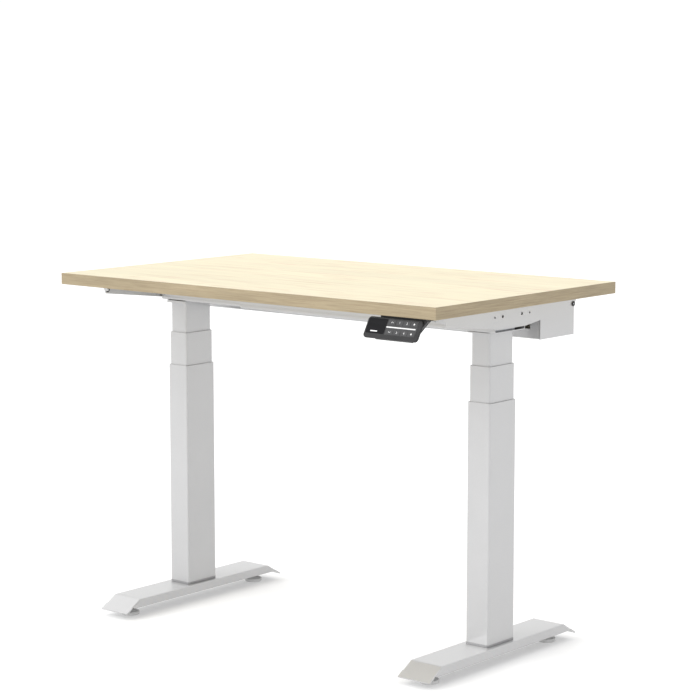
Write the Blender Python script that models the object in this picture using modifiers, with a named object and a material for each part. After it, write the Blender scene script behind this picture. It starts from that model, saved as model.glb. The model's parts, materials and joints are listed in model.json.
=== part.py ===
"""Height-adjustable standing desk with two three-stage electric lifting columns.

Metres, +Z up, +X along the desktop, the user sits at -Y. The floor is z = 0. Each column is a
fixed outer tube on a foot, a middle tube and an inner tube that carries the desktop frame. A
motor over each column turns a solid upper screw, which is keyed into a hollow lower screw, so
both stages open by the same amount.
"""

from math import atan2, cos, hypot, pi, radians, sin

import bmesh
import bpy
from mathutils import Matrix

# Clear gap between touching pieces
GAP = 0.0003

# How far a cutter runs past the face that it opens: a little for a hole, more for an open side
PAST_FACE = 0.001
PAST_SIDE = 0.010

# Desktop board
DESK_LENGTH = 1.000
DESK_DEPTH = 0.600
DESK_THICKNESS = 0.024
DESK_TOP = 0.746
DESK_EDGE = 0.0008
UNDERSIDE = DESK_TOP - DESK_THICKNESS

# Columns: nested rounded rectangular tubes, each stage 5 mm smaller than the one around it
COLUMN_X = 0.410
STAGE_STEP = 0.005
OUTER_WIDTH = 0.055
OUTER_DEPTH = 0.088
OUTER_RADIUS = 0.004
RADIUS_STEP = 0.0005
TUBE_WALL = 0.0014
FOOT_TOP = 0.040
OUTER_TOP = 0.529
MID_BOTTOM = 0.117
MID_TOP = 0.601
INNER_BOTTOM = 0.190
INNER_TOP = 0.666

# Screws and the tubes that carry their nuts
BASE_FLANGE = 0.006
BASE_TUBE_RADIUS = 0.0155
BASE_TUBE_BORE = 0.0135
BASE_TUBE_TOP = 0.4697
BASE_NUT_TOP = 0.4945
BASE_NUT_BORE = 0.0125
MID_FLANGE = 0.005
MID_TUBE_RADIUS = 0.0195
MID_TUBE_BORE = 0.0175
MID_TUBE_TOP = 0.5748
MID_NUT_TOP = 0.595
MID_NUT_BORE = 0.0075
LOWER_SCREW_RADIUS = 0.012
LOWER_SCREW_BORE = 0.009
LOWER_SCREW_BOTTOM = 0.190
LOWER_HEAD_RADIUS = 0.015
LOWER_HEAD_BOTTOM = 0.560
LOWER_HEAD_TOP = 0.5745
UPPER_SCREW_RADIUS = 0.007
UPPER_SCREW_BOTTOM = 0.300
UPPER_HEAD_RADIUS = 0.013
UPPER_HEAD_BOTTOM = 0.677
UPPER_HEAD_TOP = 0.689

# Plastic slide guides at the lower end of the middle and inner tubes
GUIDE_LENGTH = 0.060
GUIDE_THICKNESS = 0.0005
GUIDE_LIFT = 0.003

# Feet: channels of folded sheet with a sloping tongue at each end
FOOT_WIDTH = 0.078
FOOT_SHEET = 0.0025
FOOT_FLAT_HALF = 0.206
FOOT_HALF = 0.2475
TONGUE_DROP = 0.0246
FOOT_WALL_BOTTOM = 0.0224
FOOT_WALL_HALF = 0.2225
TONGUE_ROOT_HALF = 0.230

# Levelling glides: radius and height of each point of the turned outline below the collar
GLIDE_Y = 0.198
GLIDE_COLLAR_RADIUS = 0.006
GLIDE_OUTLINE = (
    (GLIDE_COLLAR_RADIUS, 0.0300), (0.0040, 0.0290), (0.0040, 0.0130), (0.0110, 0.0115),
    (0.0175, 0.0090), (0.0195, 0.0070), (0.0195, 0.0012), (0.0185, 0.0), (0.0, 0.0))

# Side brackets
BRACKET_FACE_X = 0.458
BRACKET_SHEET = 0.002
BRACKET_FLANGE = 0.025
BRACKET_TIP_Y = 0.2265
BRACKET_END_Y = 0.213
BRACKET_END_DEPTH = 0.024
BRACKET_FLAT_Y = 0.045
BRACKET_DEPTH = 0.045
BRACKET_LIP = 0.012
BRACKET_LIP_DEPTH = 0.018
BRACKET_LIP_OVERCUT = 0.002
BRACKET_HOLE_DEPTH = 0.020
BRACKET_BOLT_Y = 0.032
BRACKET_BOLT_RADIUS = 0.0031
BRACKET_SPARE_Y = 0.058
BRACKET_SPARE_RADIUS = 0.0023
BRACKET_GROMMET_Y = 0.209
BRACKET_GROMMET_DEPTH = 0.016
BRACKET_GROMMET_RADIUS = 0.003

# Telescoping crossbeam: two nested channels, open at the top
BEAM_HALF_DEPTH = 0.050
BEAM_BOTTOM = 0.669
BEAM_TOP = 0.719
BEAM_SHEET = 0.002
BEAM_END_X = 0.4524
BEAM_STEP = 0.0003
INNER_RAIL_BOTTOM = 0.6718
INNER_RAIL_REACH = 0.100
OUTER_RAIL_REACH_TOP = -0.235
OUTER_RAIL_REACH_BOTTOM = -0.216
BEAM_HOLE_RADIUS = 0.011
LEAD_SLOT_TOP = 0.7145
LEAD_SLOT_BOTTOM = 0.7015
LEFT_SLOT_X = -0.255
RIGHT_SLOT_X = 0.205
LEFT_SLOT_HALF = 0.010
RIGHT_SLOT_HALF = 0.020
END_PLATE_SHEET = 0.003
END_PLATE_HALF = 0.068
END_PLATE_BOTTOM = 0.684

# Plate on top of each column
LEG_PLATE_LENGTH = 0.055
LEG_PLATE_HALF_DEPTH = 0.0485

# Motors and gearboxes inside the crossbeam
GEARBOX_HALF_LENGTH = 0.032
GEARBOX_HALF_DEPTH = 0.036
GEARBOX_TOP = 0.7185
GEARBOX_BORE = 0.0145
GEARBOX_RADIUS = 0.006
MOTOR_RADIUS = 0.0215
MOTOR_LENGTH = 0.095
MOTOR_BOSS_RADIUS = 0.008
MOTOR_BOSS_LENGTH = 0.004
MOTOR_CHAMFER = 0.003
MOTOR_Z = 0.6965

# Cable tray along the rear
TRAY_FRONT = 0.095
TRAY_REAR = 0.213
TRAY_BOTTOM = 0.6435
TRAY_TOP = 0.7192
TRAY_SHEET = 0.0015
TRAY_END_X = 0.4552
TRAY_LOW_WALL = 0.020
TRAY_STUB = 0.022

# Control box above the tray floor
CONTROL_LEFT = -0.200
CONTROL_RIGHT = 0.030
CONTROL_FRONT = 0.108
CONTROL_REAR = 0.198
CONTROL_BOTTOM = 0.6833
CONTROL_PLATE = 0.003
CONTROL_WALL = 0.0025
INLET_WIDTH = 0.028
INLET_HEIGHT = 0.020
INLET_DEPTH = 0.010
INLET_WALL = 0.0025
INLET_PROUD = 0.001
INLET_Y = 0.175
INLET_Z = 0.700

# Keypad at the right of the front edge, its face tilted up towards the user
KEYPAD_X = 0.4037
KEYPAD_Y = -0.3058
KEYPAD_Z = 0.6998
KEYPAD_TILT = radians(60.0)
PANEL_WIDTH = 0.129
PANEL_HEIGHT = 0.043
PANEL_RADIUS = 0.007
PANEL_THICKNESS = 0.004
SHELL_LEFT = 0.355
SHELL_RIGHT = 0.472
SHELL_BACK_Y = -0.240
SHELL_PLATE_BOTTOM = 0.7125
SHELL_WALL = 0.0025
SHELL_INSET = 0.0015
SHELL_LIP = 0.008
SHELL_RAMP_LENGTH = 0.010
SHELL_RAMP_DROP = 0.004
SHELL_POCKET_DEPTH = 0.0045
DISPLAY_WIDTH = 0.044
DISPLAY_HEIGHT = 0.030
DISPLAY_THICKNESS = 0.0015
DISPLAY_X = -0.0395
DISPLAY_UP = 0.003
KEY_WIDTH = 0.0156
KEY_HEIGHT = 0.0106
KEY_RADIUS = 0.001
KEY_PROUD = 0.0003
KEY_DEEP = 0.0033
KEY_FIRST = -0.0050
KEY_PITCH = 0.0172
KEY_MIDDLE = 0.0025
KEY_ROW = 0.0100
KEY_NAMES = (("up", "one", "two", "lock"), ("down", "three", "four", "memory"))

# Leads: motor leads and the keypad lead, held all the way between their housings
MOTOR_LEAD_RADIUS = 0.0025
KEYPAD_LEAD_RADIUS = 0.0020
LEAD_SPACING = 0.013

# The desk's own centre lies behind the origin by half of the keypad's overhang, so that the
# origin is at the centre of the whole object's outline
KEYPAD_FRONT_Y = KEYPAD_Y - 0.5 * PANEL_HEIGHT * cos(KEYPAD_TILT)
CENTRE_SHIFT = -0.5 * (KEYPAD_FRONT_Y + 0.5 * DESK_DEPTH)

TURN_STEPS = 24
HOLE_STEPS = 16
CORNER_STEPS = 3
MERGE = 0.00001

SIDES = (("left", -1.0), ("right", 1.0))

# Axis changes for outlines: an outline is drawn in its own x, y and pushed along its own z
UPRIGHT = Matrix.Identity(4)
ALONG_X = Matrix(((0, 0, 1, 0), (1, 0, 0, 0), (0, 1, 0, 0), (0, 0, 0, 1)))
ALONG_Y = Matrix(((1, 0, 0, 0), (0, 0, -1, 0), (0, 1, 0, 0), (0, 0, 0, 1)))

# Finishes: colour, roughness, metallic
FINISHES = {
    "oak_board": ((0.78, 0.68, 0.50), 0.55, 0.0),
    "silver_paint": ((0.66, 0.66, 0.66), 0.38, 0.3),
    "steel": ((0.55, 0.56, 0.58), 0.30, 1.0),
    "nut_plastic": ((0.75, 0.73, 0.68), 0.5, 0.0),
    "guide_plastic": ((0.12, 0.12, 0.12), 0.4, 0.0),
    "black_plastic": ((0.02, 0.02, 0.02), 0.45, 0.0),
    "display": ((0.01, 0.01, 0.012), 0.08, 0.0),
    "key": ((0.06, 0.06, 0.06), 0.5, 0.0),
    "glide_rubber": ((0.55, 0.55, 0.54), 0.7, 0.0),
    "cable": ((0.03, 0.03, 0.03), 0.6, 0.0),
    "zinc": ((0.6, 0.6, 0.62), 0.4, 0.8),
}


class Workshop:
    """The collections, the parent empty and the helpers that make one named piece at a time."""

    def __init__(self):
        for thing in list(bpy.data.objects):
            bpy.data.objects.remove(thing, do_unlink=True)
        self.parts = self.collection("standing_desk")
        self.cutters = self.collection("cutters")
        self.centre = self.empty("desk_centre", (0.0, CENTRE_SHIFT, 0.0))

    def collection(self, name):
        group = bpy.data.collections.new(name)
        bpy.context.scene.collection.children.link(group)
        return group

    def empty(self, name, where, parent=None, tilt=0.0):
        holder = bpy.data.objects.new(name, None)
        holder.location = where
        holder.rotation_euler = (tilt, 0.0, 0.0)
        holder.parent = parent
        bpy.context.scene.collection.objects.link(holder)
        return holder

    def piece(self, name, mesh, finish, where=(0.0, 0.0, 0.0), parent=None):
        """One part of the desk, with a material of its own."""
        part = bpy.data.objects.new(name, mesh)
        part.location = where
        part.parent = parent or self.centre
        mesh.materials.append(self.material(name, finish))
        self.parts.objects.link(part)
        return part

    def cutter(self, name, mesh, where=(0.0, 0.0, 0.0), parent=None):
        tool = bpy.data.objects.new(name, mesh)
        tool.location = where
        tool.parent = parent or self.centre
        tool.hide_render = True
        tool.display_type = "WIRE"
        self.cutters.objects.link(tool)
        return tool

    def material(self, name, finish):
        colour, roughness, metallic = FINISHES[finish]
        look = bpy.data.materials.new(name)
        look.use_nodes = True
        shader = look.node_tree.nodes["Principled BSDF"]
        shader.inputs["Base Color"].default_value = (*colour, 1.0)
        shader.inputs["Roughness"].default_value = roughness
        shader.inputs["Metallic"].default_value = metallic
        return look


def rounded_rectangle(width, depth, radius, steps=CORNER_STEPS):
    """Corner points of a rectangle with round corners, anticlockwise."""
    points = []
    for quarter, (side_x, side_y) in enumerate(((1, 1), (-1, 1), (-1, -1), (1, -1))):
        centre_x = side_x * (0.5 * width - radius)
        centre_y = side_y * (0.5 * depth - radius)
        for step in range(steps + 1):
            angle = 0.5 * pi * (quarter + step / steps)
            points.append((centre_x + radius * cos(angle), centre_y + radius * sin(angle)))
    return points


def circle(radius, steps=TURN_STEPS):
    return [(radius * cos(2.0 * pi * step / steps), radius * sin(2.0 * pi * step / steps))
            for step in range(steps)]


def plate_mesh(name, loops, low, high, axes=UPRIGHT):
    """A flat outline with its holes, pushed from low to high along its own z."""
    curve = bpy.data.curves.new(name, "CURVE")
    curve.dimensions = "2D"
    curve.fill_mode = "BOTH"
    curve.extrude = 0.5 * (high - low)
    for loop in loops:
        spline = curve.splines.new("POLY")
        spline.points.add(len(loop) - 1)
        for point, (x, y) in zip(spline.points, loop):
            point.co = (x, y, 0.0, 1.0)
        spline.use_cyclic_u = True
    mesh = curve_to_mesh(name, curve)
    mesh.transform(axes @ Matrix.Translation((0.0, 0.0, 0.5 * (low + high))))
    return mesh


def curve_to_mesh(name, curve):
    """The mesh of a filled or bevelled curve, with its caps welded on."""
    guide = bpy.data.objects.new(name, curve)
    bpy.context.scene.collection.objects.link(guide)
    graph = bpy.context.evaluated_depsgraph_get()
    mesh = bpy.data.meshes.new_from_object(guide.evaluated_get(graph))
    bpy.data.objects.remove(guide, do_unlink=True)
    shape = bmesh.new()
    shape.from_mesh(mesh)
    bmesh.ops.remove_doubles(shape, verts=shape.verts, dist=MERGE)
    bmesh.ops.recalc_face_normals(shape, faces=shape.faces)
    shape.to_mesh(mesh)
    shape.free()
    mesh.materials.clear()
    return mesh


def box_mesh(name, low, high):
    """A box from its lowest to its highest corner."""
    mesh = bpy.data.meshes.new(name)
    shape = bmesh.new()
    bmesh.ops.create_cube(shape, size=1.0)
    size = [high[axis] - low[axis] for axis in range(3)]
    middle = [0.5 * (high[axis] + low[axis]) for axis in range(3)]
    bmesh.ops.scale(shape, vec=size, verts=shape.verts)
    bmesh.ops.translate(shape, vec=middle, verts=shape.verts)
    shape.to_mesh(mesh)
    shape.free()
    return mesh


def profile_mesh(name, profile, closed=False):
    """A profile in the XZ plane, as edges for a Screw modifier."""
    count = len(profile)
    edges = [(index, index + 1) for index in range(count - 1)]
    if closed:
        edges.append((count - 1, 0))
    mesh = bpy.data.meshes.new(name)
    mesh.from_pydata([(radius, 0.0, height) for radius, height in profile], edges, [])
    return mesh


def turn(part, steps=TURN_STEPS):
    """Spins a profile once around its own Z axis."""
    screw = part.modifiers.new("turned", "SCREW")
    screw.angle = 2.0 * pi
    screw.steps = steps
    screw.render_steps = steps
    screw.use_merge_vertices = True
    screw.merge_threshold = MERGE
    screw.use_smooth_shade = True
    return part


def cut(part, tool):
    take_away = part.modifiers.new("cut " + tool.name, "BOOLEAN")
    take_away.operation = "DIFFERENCE"
    take_away.solver = "EXACT"
    take_away.object = tool


def join(part, tool):
    add = part.modifiers.new("join " + tool.name, "BOOLEAN")
    add.operation = "UNION"
    add.solver = "EXACT"
    add.object = tool


def round_edges(part, width, segments=2):
    bevel = part.modifiers.new("edges", "BEVEL")
    bevel.width = width
    bevel.segments = segments
    bevel.limit_method = "ANGLE"


def ring_profile(outer, inner, low, high):
    return [(outer, high), (outer, low), (inner, low), (inner, high)]


def stage_size(stage):
    """Width, depth and corner radius of a tube: 0 outer, 1 middle, 2 inner."""
    return (OUTER_WIDTH - stage * STAGE_STEP, OUTER_DEPTH - stage * STAGE_STEP,
            OUTER_RADIUS - stage * RADIUS_STEP)


def make_tube(shop, name, stage, side, low, high):
    """One stage of a column: a rounded rectangular tube, open at both ends."""
    width, depth, radius = stage_size(stage)
    outside = rounded_rectangle(width, depth, radius)
    inside = rounded_rectangle(width - 2 * TUBE_WALL, depth - 2 * TUBE_WALL, radius - TUBE_WALL)
    mesh = plate_mesh(name, [outside, inside], 0.0, high - low)
    shop.piece(name, mesh, "silver_paint", (side * COLUMN_X, 0.0, low))


def make_guide(shop, name, stage, side, bottom):
    """A thin plastic collar around the lower end of a tube."""
    width, depth, radius = stage_size(stage)
    loops = []
    for spread in (GAP + GUIDE_THICKNESS, GAP):
        loops.append(rounded_rectangle(width + 2 * spread, depth + 2 * spread, radius + spread))
    mesh = plate_mesh(name, loops, 0.0, GUIDE_LENGTH)
    shop.piece(name, mesh, "guide_plastic", (side * COLUMN_X, 0.0, bottom))


def make_flanged_tube(shop, name, stage, side, bottom, flange, outer, bore, top):
    """A nut carrier: a flange that fills a stage's tube, with a round tube standing on it."""
    width, depth, radius = stage_size(stage)
    spread = 2 * (TUBE_WALL + GAP)
    outline = rounded_rectangle(width - spread, depth - spread, radius - TUBE_WALL)
    where = (side * COLUMN_X, 0.0, bottom)
    part = shop.piece(name, plate_mesh(name, [outline, circle(bore)], 0.0, flange), "steel", where)
    pipe = profile_mesh(name + "_pipe", ring_profile(outer, bore, 0.5 * flange, top - bottom), True)
    join(part, turn(shop.cutter(name + "_pipe", pipe, where)))


def make_ring(shop, name, finish, side, outer, bore, low, high):
    mesh = profile_mesh(name, ring_profile(outer, bore, 0.0, high - low), True)
    turn(shop.piece(name, mesh, finish, (side * COLUMN_X, 0.0, low)))


def make_column(shop, label, side):
    """The three tubes of one column, their guides, the nut carriers and the nuts."""
    make_tube(shop, "outer_tube_" + label, 0, side, FOOT_TOP + GAP, OUTER_TOP)
    make_tube(shop, "mid_tube_" + label, 1, side, MID_BOTTOM, MID_TOP)
    make_tube(shop, "inner_tube_" + label, 2, side, INNER_BOTTOM, INNER_TOP)
    make_guide(shop, "mid_guide_" + label, 1, side, MID_BOTTOM + GUIDE_LIFT)
    make_guide(shop, "inner_guide_" + label, 2, side, INNER_BOTTOM + GUIDE_LIFT)
    make_flanged_tube(shop, "base_nut_carrier_" + label, 0, side, FOOT_TOP + 2 * GAP, BASE_FLANGE,
                      BASE_TUBE_RADIUS, BASE_TUBE_BORE, BASE_TUBE_TOP)
    make_flanged_tube(shop, "mid_nut_carrier_" + label, 1, side, MID_BOTTOM, MID_FLANGE,
                      MID_TUBE_RADIUS, MID_TUBE_BORE, MID_TUBE_TOP)
    make_ring(shop, "base_nut_" + label, "nut_plastic", side, BASE_TUBE_RADIUS, BASE_NUT_BORE,
              BASE_TUBE_TOP + GAP, BASE_NUT_TOP)
    make_ring(shop, "mid_nut_" + label, "nut_plastic", side, MID_TUBE_RADIUS, MID_NUT_BORE,
              MID_TUBE_TOP + GAP, MID_NUT_TOP)


def make_screws(shop, label, side):
    """The hollow lower screw hangs in the middle tube, the solid upper screw in the gearbox."""
    low = LOWER_SCREW_BOTTOM
    lower = [
        (LOWER_HEAD_RADIUS, LOWER_HEAD_TOP - low), (LOWER_HEAD_RADIUS, LOWER_HEAD_BOTTOM - low),
        (LOWER_SCREW_RADIUS, LOWER_HEAD_BOTTOM - low), (LOWER_SCREW_RADIUS, 0.0),
        (LOWER_SCREW_BORE, 0.0), (LOWER_SCREW_BORE, LOWER_HEAD_TOP - low)]
    name = "lower_screw_" + label
    turn(shop.piece(name, profile_mesh(name, lower, True), "steel", (side * COLUMN_X, 0.0, low)))
    low = UPPER_SCREW_BOTTOM
    upper = [
        (0.0, UPPER_HEAD_TOP - low), (UPPER_HEAD_RADIUS, UPPER_HEAD_TOP - low),
        (UPPER_HEAD_RADIUS, UPPER_HEAD_BOTTOM - low), (UPPER_SCREW_RADIUS, UPPER_HEAD_BOTTOM - low),
        (UPPER_SCREW_RADIUS, 0.0), (0.0, 0.0)]
    name = "upper_screw_" + label
    turn(shop.piece(name, profile_mesh(name, upper), "steel", (side * COLUMN_X, 0.0, low)))


def make_foot(shop, label, side):
    """A channel folded from sheet, open below, with a sloping tongue at each end."""
    name = "foot_" + label
    slope = atan2(TONGUE_DROP, FOOT_HALF - FOOT_FLAT_HALF)
    tip_y = FOOT_HALF - FOOT_SHEET * sin(slope)
    tip_z = FOOT_TOP - TONGUE_DROP - FOOT_SHEET * cos(slope)
    run_per_drop = cos(slope) / sin(slope)
    root_z = tip_z + (tip_y - TONGUE_ROOT_HALF) / run_per_drop
    half = [(FOOT_FLAT_HALF, FOOT_TOP), (FOOT_HALF, FOOT_TOP - TONGUE_DROP), (tip_y, tip_z),
            (TONGUE_ROOT_HALF, root_z), (FOOT_WALL_HALF, FOOT_WALL_BOTTOM)]
    outline = half + [(-y, z) for y, z in reversed(half)]
    mesh = plate_mesh(name, [outline], -0.5 * FOOT_WIDTH, 0.5 * FOOT_WIDTH, ALONG_X)
    part = shop.piece(name, mesh, "silver_paint", (side * COLUMN_X, 0.0, 0.0))
    roof = FOOT_TOP - FOOT_SHEET
    below = tip_z - PAST_SIDE
    hollow = [(tip_y - GAP - (roof - tip_z) * run_per_drop, roof),
              (tip_y - GAP + (tip_z - below) * run_per_drop, below)]
    hollow = hollow + [(-y, z) for y, z in reversed(hollow)]
    inside = 0.5 * FOOT_WIDTH - FOOT_SHEET
    tool = plate_mesh(name + "_hollow", [hollow], -inside, inside, ALONG_X)
    cut(part, shop.cutter(name + "_hollow", tool, (side * COLUMN_X, 0.0, 0.0)))


def make_glides(shop, label, side):
    """A round pad with a threaded stud, screwed up to its collar under the foot's sheet."""
    collar_top = FOOT_TOP - FOOT_SHEET - GAP
    profile = [(0.0, collar_top), (GLIDE_COLLAR_RADIUS, collar_top), *GLIDE_OUTLINE]
    for end, toward in (("front", -1.0), ("rear", 1.0)):
        name = "glide_%s_%s" % (label, end)
        where = (side * COLUMN_X, toward * GLIDE_Y, 0.0)
        turn(shop.piece(name, profile_mesh(name, profile), "glide_rubber", where))


def bracket_end(depth):
    """How far a bracket reaches in y at a depth below its top edge."""
    return BRACKET_TIP_Y - (BRACKET_TIP_Y - BRACKET_END_Y) * depth / BRACKET_END_DEPTH


def make_bracket(shop, label, side):
    """A tapered web with a top flange under the board and a short folded lip at each end.

    Behind the column the web reaches down over the cable tray's end.
    """
    name = "side_bracket_" + label
    top = UNDERSIDE - GAP
    half = [(BRACKET_TIP_Y, top), (BRACKET_END_Y, top - BRACKET_END_DEPTH),
            (BRACKET_FLAT_Y, top - BRACKET_DEPTH)]
    rise = (BRACKET_DEPTH - BRACKET_END_DEPTH) / (BRACKET_END_Y - BRACKET_FLAT_Y)
    shoulder = top - BRACKET_DEPTH + rise * (TRAY_FRONT - BRACKET_FLAT_Y)
    apron = [(TRAY_REAR, TRAY_BOTTOM), (TRAY_FRONT, TRAY_BOTTOM), (TRAY_FRONT, shoulder)]
    outline = half[:2] + apron + half[2:] + [(-y, z) for y, z in reversed(half)]
    inner_x = BRACKET_FACE_X - BRACKET_SHEET
    flange_x = inner_x - BRACKET_FLANGE
    low, high = sorted((side * flange_x, side * BRACKET_FACE_X))
    part = shop.piece(name, plate_mesh(name, [outline], low, high, ALONG_X), "silver_paint")
    under = top - BRACKET_SHEET
    far = flange_x - PAST_SIDE
    floor = top - 2 * BRACKET_DEPTH
    reach = BRACKET_TIP_Y + PAST_SIDE
    low, high = sorted((side * far, side * inner_x))
    lip_z = top - BRACKET_LIP_DEPTH
    tool = box_mesh(name + "_below", (low, -reach, floor), (high, reach, lip_z))
    cut(part, shop.cutter(name + "_below", tool))
    sheet_y = BRACKET_SHEET * hypot(1.0, (BRACKET_TIP_Y - BRACKET_END_Y) / BRACKET_END_DEPTH)
    lip_low = lip_z - BRACKET_LIP_OVERCUT
    half = [(bracket_end(top - under) - sheet_y, under),
            (bracket_end(top - lip_low) - sheet_y, lip_low)]
    hollow = half + [(-y, z) for y, z in reversed(half)]
    tool = plate_mesh(name + "_inside", [hollow], low, high, ALONG_X)
    cut(part, shop.cutter(name + "_inside", tool))
    low, high = sorted((side * far, side * (inner_x - BRACKET_LIP)))
    tool = box_mesh(name + "_lips", (low, -reach, floor), (high, reach, under))
    cut(part, shop.cutter(name + "_lips", tool))
    holes = ((BRACKET_BOLT_Y, BRACKET_HOLE_DEPTH, BRACKET_BOLT_RADIUS),
             (BRACKET_SPARE_Y, BRACKET_HOLE_DEPTH, BRACKET_SPARE_RADIUS),
             (BRACKET_GROMMET_Y, BRACKET_GROMMET_DEPTH, BRACKET_GROMMET_RADIUS))
    for number, (hole_y, depth, radius) in enumerate(holes):
        for toward in (-1.0, 1.0):
            tag = "%s_hole_%d%s" % (name, number, "f" if toward < 0 else "r")
            low, high = sorted((side * (inner_x - PAST_FACE), side * (BRACKET_FACE_X + PAST_FACE)))
            drill = plate_mesh(tag, [circle(radius, HOLE_STEPS)], low, high, ALONG_X)
            cut(part, shop.cutter(tag, drill, (0.0, toward * hole_y, top - depth)))


def channel_mesh(name, half_depth, bottom, top, low_x, high_x):
    """An upward-open channel of the crossbeam's sheet, along X."""
    inside = half_depth - BEAM_SHEET
    half = [(half_depth, top), (inside, top), (inside, bottom + BEAM_SHEET)]
    outline = [(-half_depth, bottom), (half_depth, bottom)] + half
    outline = outline + [(-y, z) for y, z in reversed(half)]
    return plate_mesh(name, [outline], low_x, high_x, ALONG_X)


def drill_shaft_hole(shop, part, tag, side, radius, low, high):
    drill = plate_mesh(tag, [circle(radius)], low, high)
    cut(part, shop.cutter(tag, drill, (side * COLUMN_X, 0.0, 0.0)))


def make_beam(shop):
    """The outer rail reaches from the right column past the middle, the inner rail slides in it."""
    mesh = channel_mesh("beam_outer_rail", BEAM_HALF_DEPTH, BEAM_BOTTOM, BEAM_TOP,
                        OUTER_RAIL_REACH_TOP, BEAM_END_X)
    outer = shop.piece("beam_outer_rail", mesh, "silver_paint")
    beyond = OUTER_RAIL_REACH_TOP - PAST_SIDE
    below = BEAM_BOTTOM - PAST_SIDE
    shoulder = BEAM_TOP - BEAM_SHEET
    slant = [(beyond, below), (OUTER_RAIL_REACH_BOTTOM, below), (OUTER_RAIL_REACH_BOTTOM, BEAM_BOTTOM),
             (OUTER_RAIL_REACH_TOP, shoulder), (beyond, shoulder)]
    tool = plate_mesh("beam_slant", [slant], -2 * BEAM_HALF_DEPTH, 2 * BEAM_HALF_DEPTH, ALONG_Y)
    cut(outer, shop.cutter("beam_slant", tool))
    inner_half = BEAM_HALF_DEPTH - BEAM_SHEET - BEAM_STEP
    inner = shop.piece("beam_inner_rail", channel_mesh(
        "beam_inner_rail", inner_half, INNER_RAIL_BOTTOM, BEAM_TOP, -BEAM_END_X, INNER_RAIL_REACH),
        "silver_paint")
    drill_shaft_hole(shop, outer, "outer_rail_hole", 1.0, BEAM_HOLE_RADIUS, BEAM_BOTTOM - PAST_FACE,
                     BEAM_BOTTOM + 2 * BEAM_SHEET)
    drill_shaft_hole(shop, inner, "inner_rail_hole", -1.0, BEAM_HOLE_RADIUS,
                     INNER_RAIL_BOTTOM - PAST_FACE, INNER_RAIL_BOTTOM + 2 * BEAM_SHEET)
    slots = ((inner, "left_lead_slot", LEFT_SLOT_X, LEFT_SLOT_HALF, 0.0),
             (outer, "right_lead_slot", RIGHT_SLOT_X, RIGHT_SLOT_HALF, -2 * BEAM_HALF_DEPTH))
    for rail, tag, centre, half, front in slots:
        tool = box_mesh(tag, (centre - half, front, LEAD_SLOT_BOTTOM),
                        (centre + half, 2 * BEAM_HALF_DEPTH, LEAD_SLOT_TOP))
        cut(rail, shop.cutter(tag, tool))


def make_beam_ends(shop, label, side):
    """The plate that bolts the beam's end to the bracket, and the plate under the beam."""
    name = "beam_end_plate_" + label
    low, high = sorted((side * (BEAM_END_X + GAP), side * (BEAM_END_X + GAP + END_PLATE_SHEET)))
    plate = shop.piece(name, box_mesh(name, (low, -END_PLATE_HALF, END_PLATE_BOTTOM),
                                      (high, END_PLATE_HALF, BEAM_TOP)), "silver_paint")
    for toward in (-1.0, 1.0):
        tag = name + ("_hole_f" if toward < 0 else "_hole_r")
        drill = plate_mesh(tag, [circle(BRACKET_BOLT_RADIUS, HOLE_STEPS)], low - PAST_FACE,
                           high + PAST_FACE, ALONG_X)
        where = (0.0, toward * BRACKET_BOLT_Y, UNDERSIDE - GAP - BRACKET_HOLE_DEPTH)
        cut(plate, shop.cutter(tag, drill, where))
    name = "leg_top_plate_" + label
    top = (BEAM_BOTTOM if side > 0 else INNER_RAIL_BOTTOM) - GAP
    outline = rounded_rectangle(LEG_PLATE_LENGTH, 2 * LEG_PLATE_HALF_DEPTH, OUTER_RADIUS)
    mesh = plate_mesh(name, [outline, circle(BEAM_HOLE_RADIUS)], INNER_TOP + GAP, top)
    shop.piece(name, mesh, "silver_paint", (side * COLUMN_X, 0.0, 0.0))


def make_motor(shop, label, side):
    """Gearbox over the column and motor along the beam."""
    name = "gearbox_" + label
    bottom = (BEAM_BOTTOM if side > 0 else INNER_RAIL_BOTTOM) + BEAM_SHEET + GAP
    outline = rounded_rectangle(2 * GEARBOX_HALF_LENGTH, 2 * GEARBOX_HALF_DEPTH, GEARBOX_RADIUS)
    box = shop.piece(name, plate_mesh(name, [outline], bottom, GEARBOX_TOP), "zinc",
                     (side * COLUMN_X, 0.0, 0.0))
    drill_shaft_hole(shop, box, name + "_bore", side, GEARBOX_BORE, bottom - PAST_FACE,
                     UPPER_HEAD_TOP + PAST_FACE)
    name = "motor_" + label
    shoulder = MOTOR_LENGTH - MOTOR_BOSS_LENGTH
    profile = [
        (0.0, MOTOR_LENGTH), (MOTOR_BOSS_RADIUS, MOTOR_LENGTH), (MOTOR_BOSS_RADIUS, shoulder),
        (MOTOR_RADIUS - MOTOR_CHAMFER, shoulder), (MOTOR_RADIUS, shoulder - MOTOR_CHAMFER),
        (MOTOR_RADIUS, 0.0), (0.0, 0.0)]
    start = COLUMN_X - GEARBOX_HALF_LENGTH - GAP
    motor = turn(shop.piece(name, profile_mesh(name, profile), "zinc", (side * start, 0.0, MOTOR_Z)))
    motor.rotation_euler = (0.0, -side * 0.5 * pi, 0.0)


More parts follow.
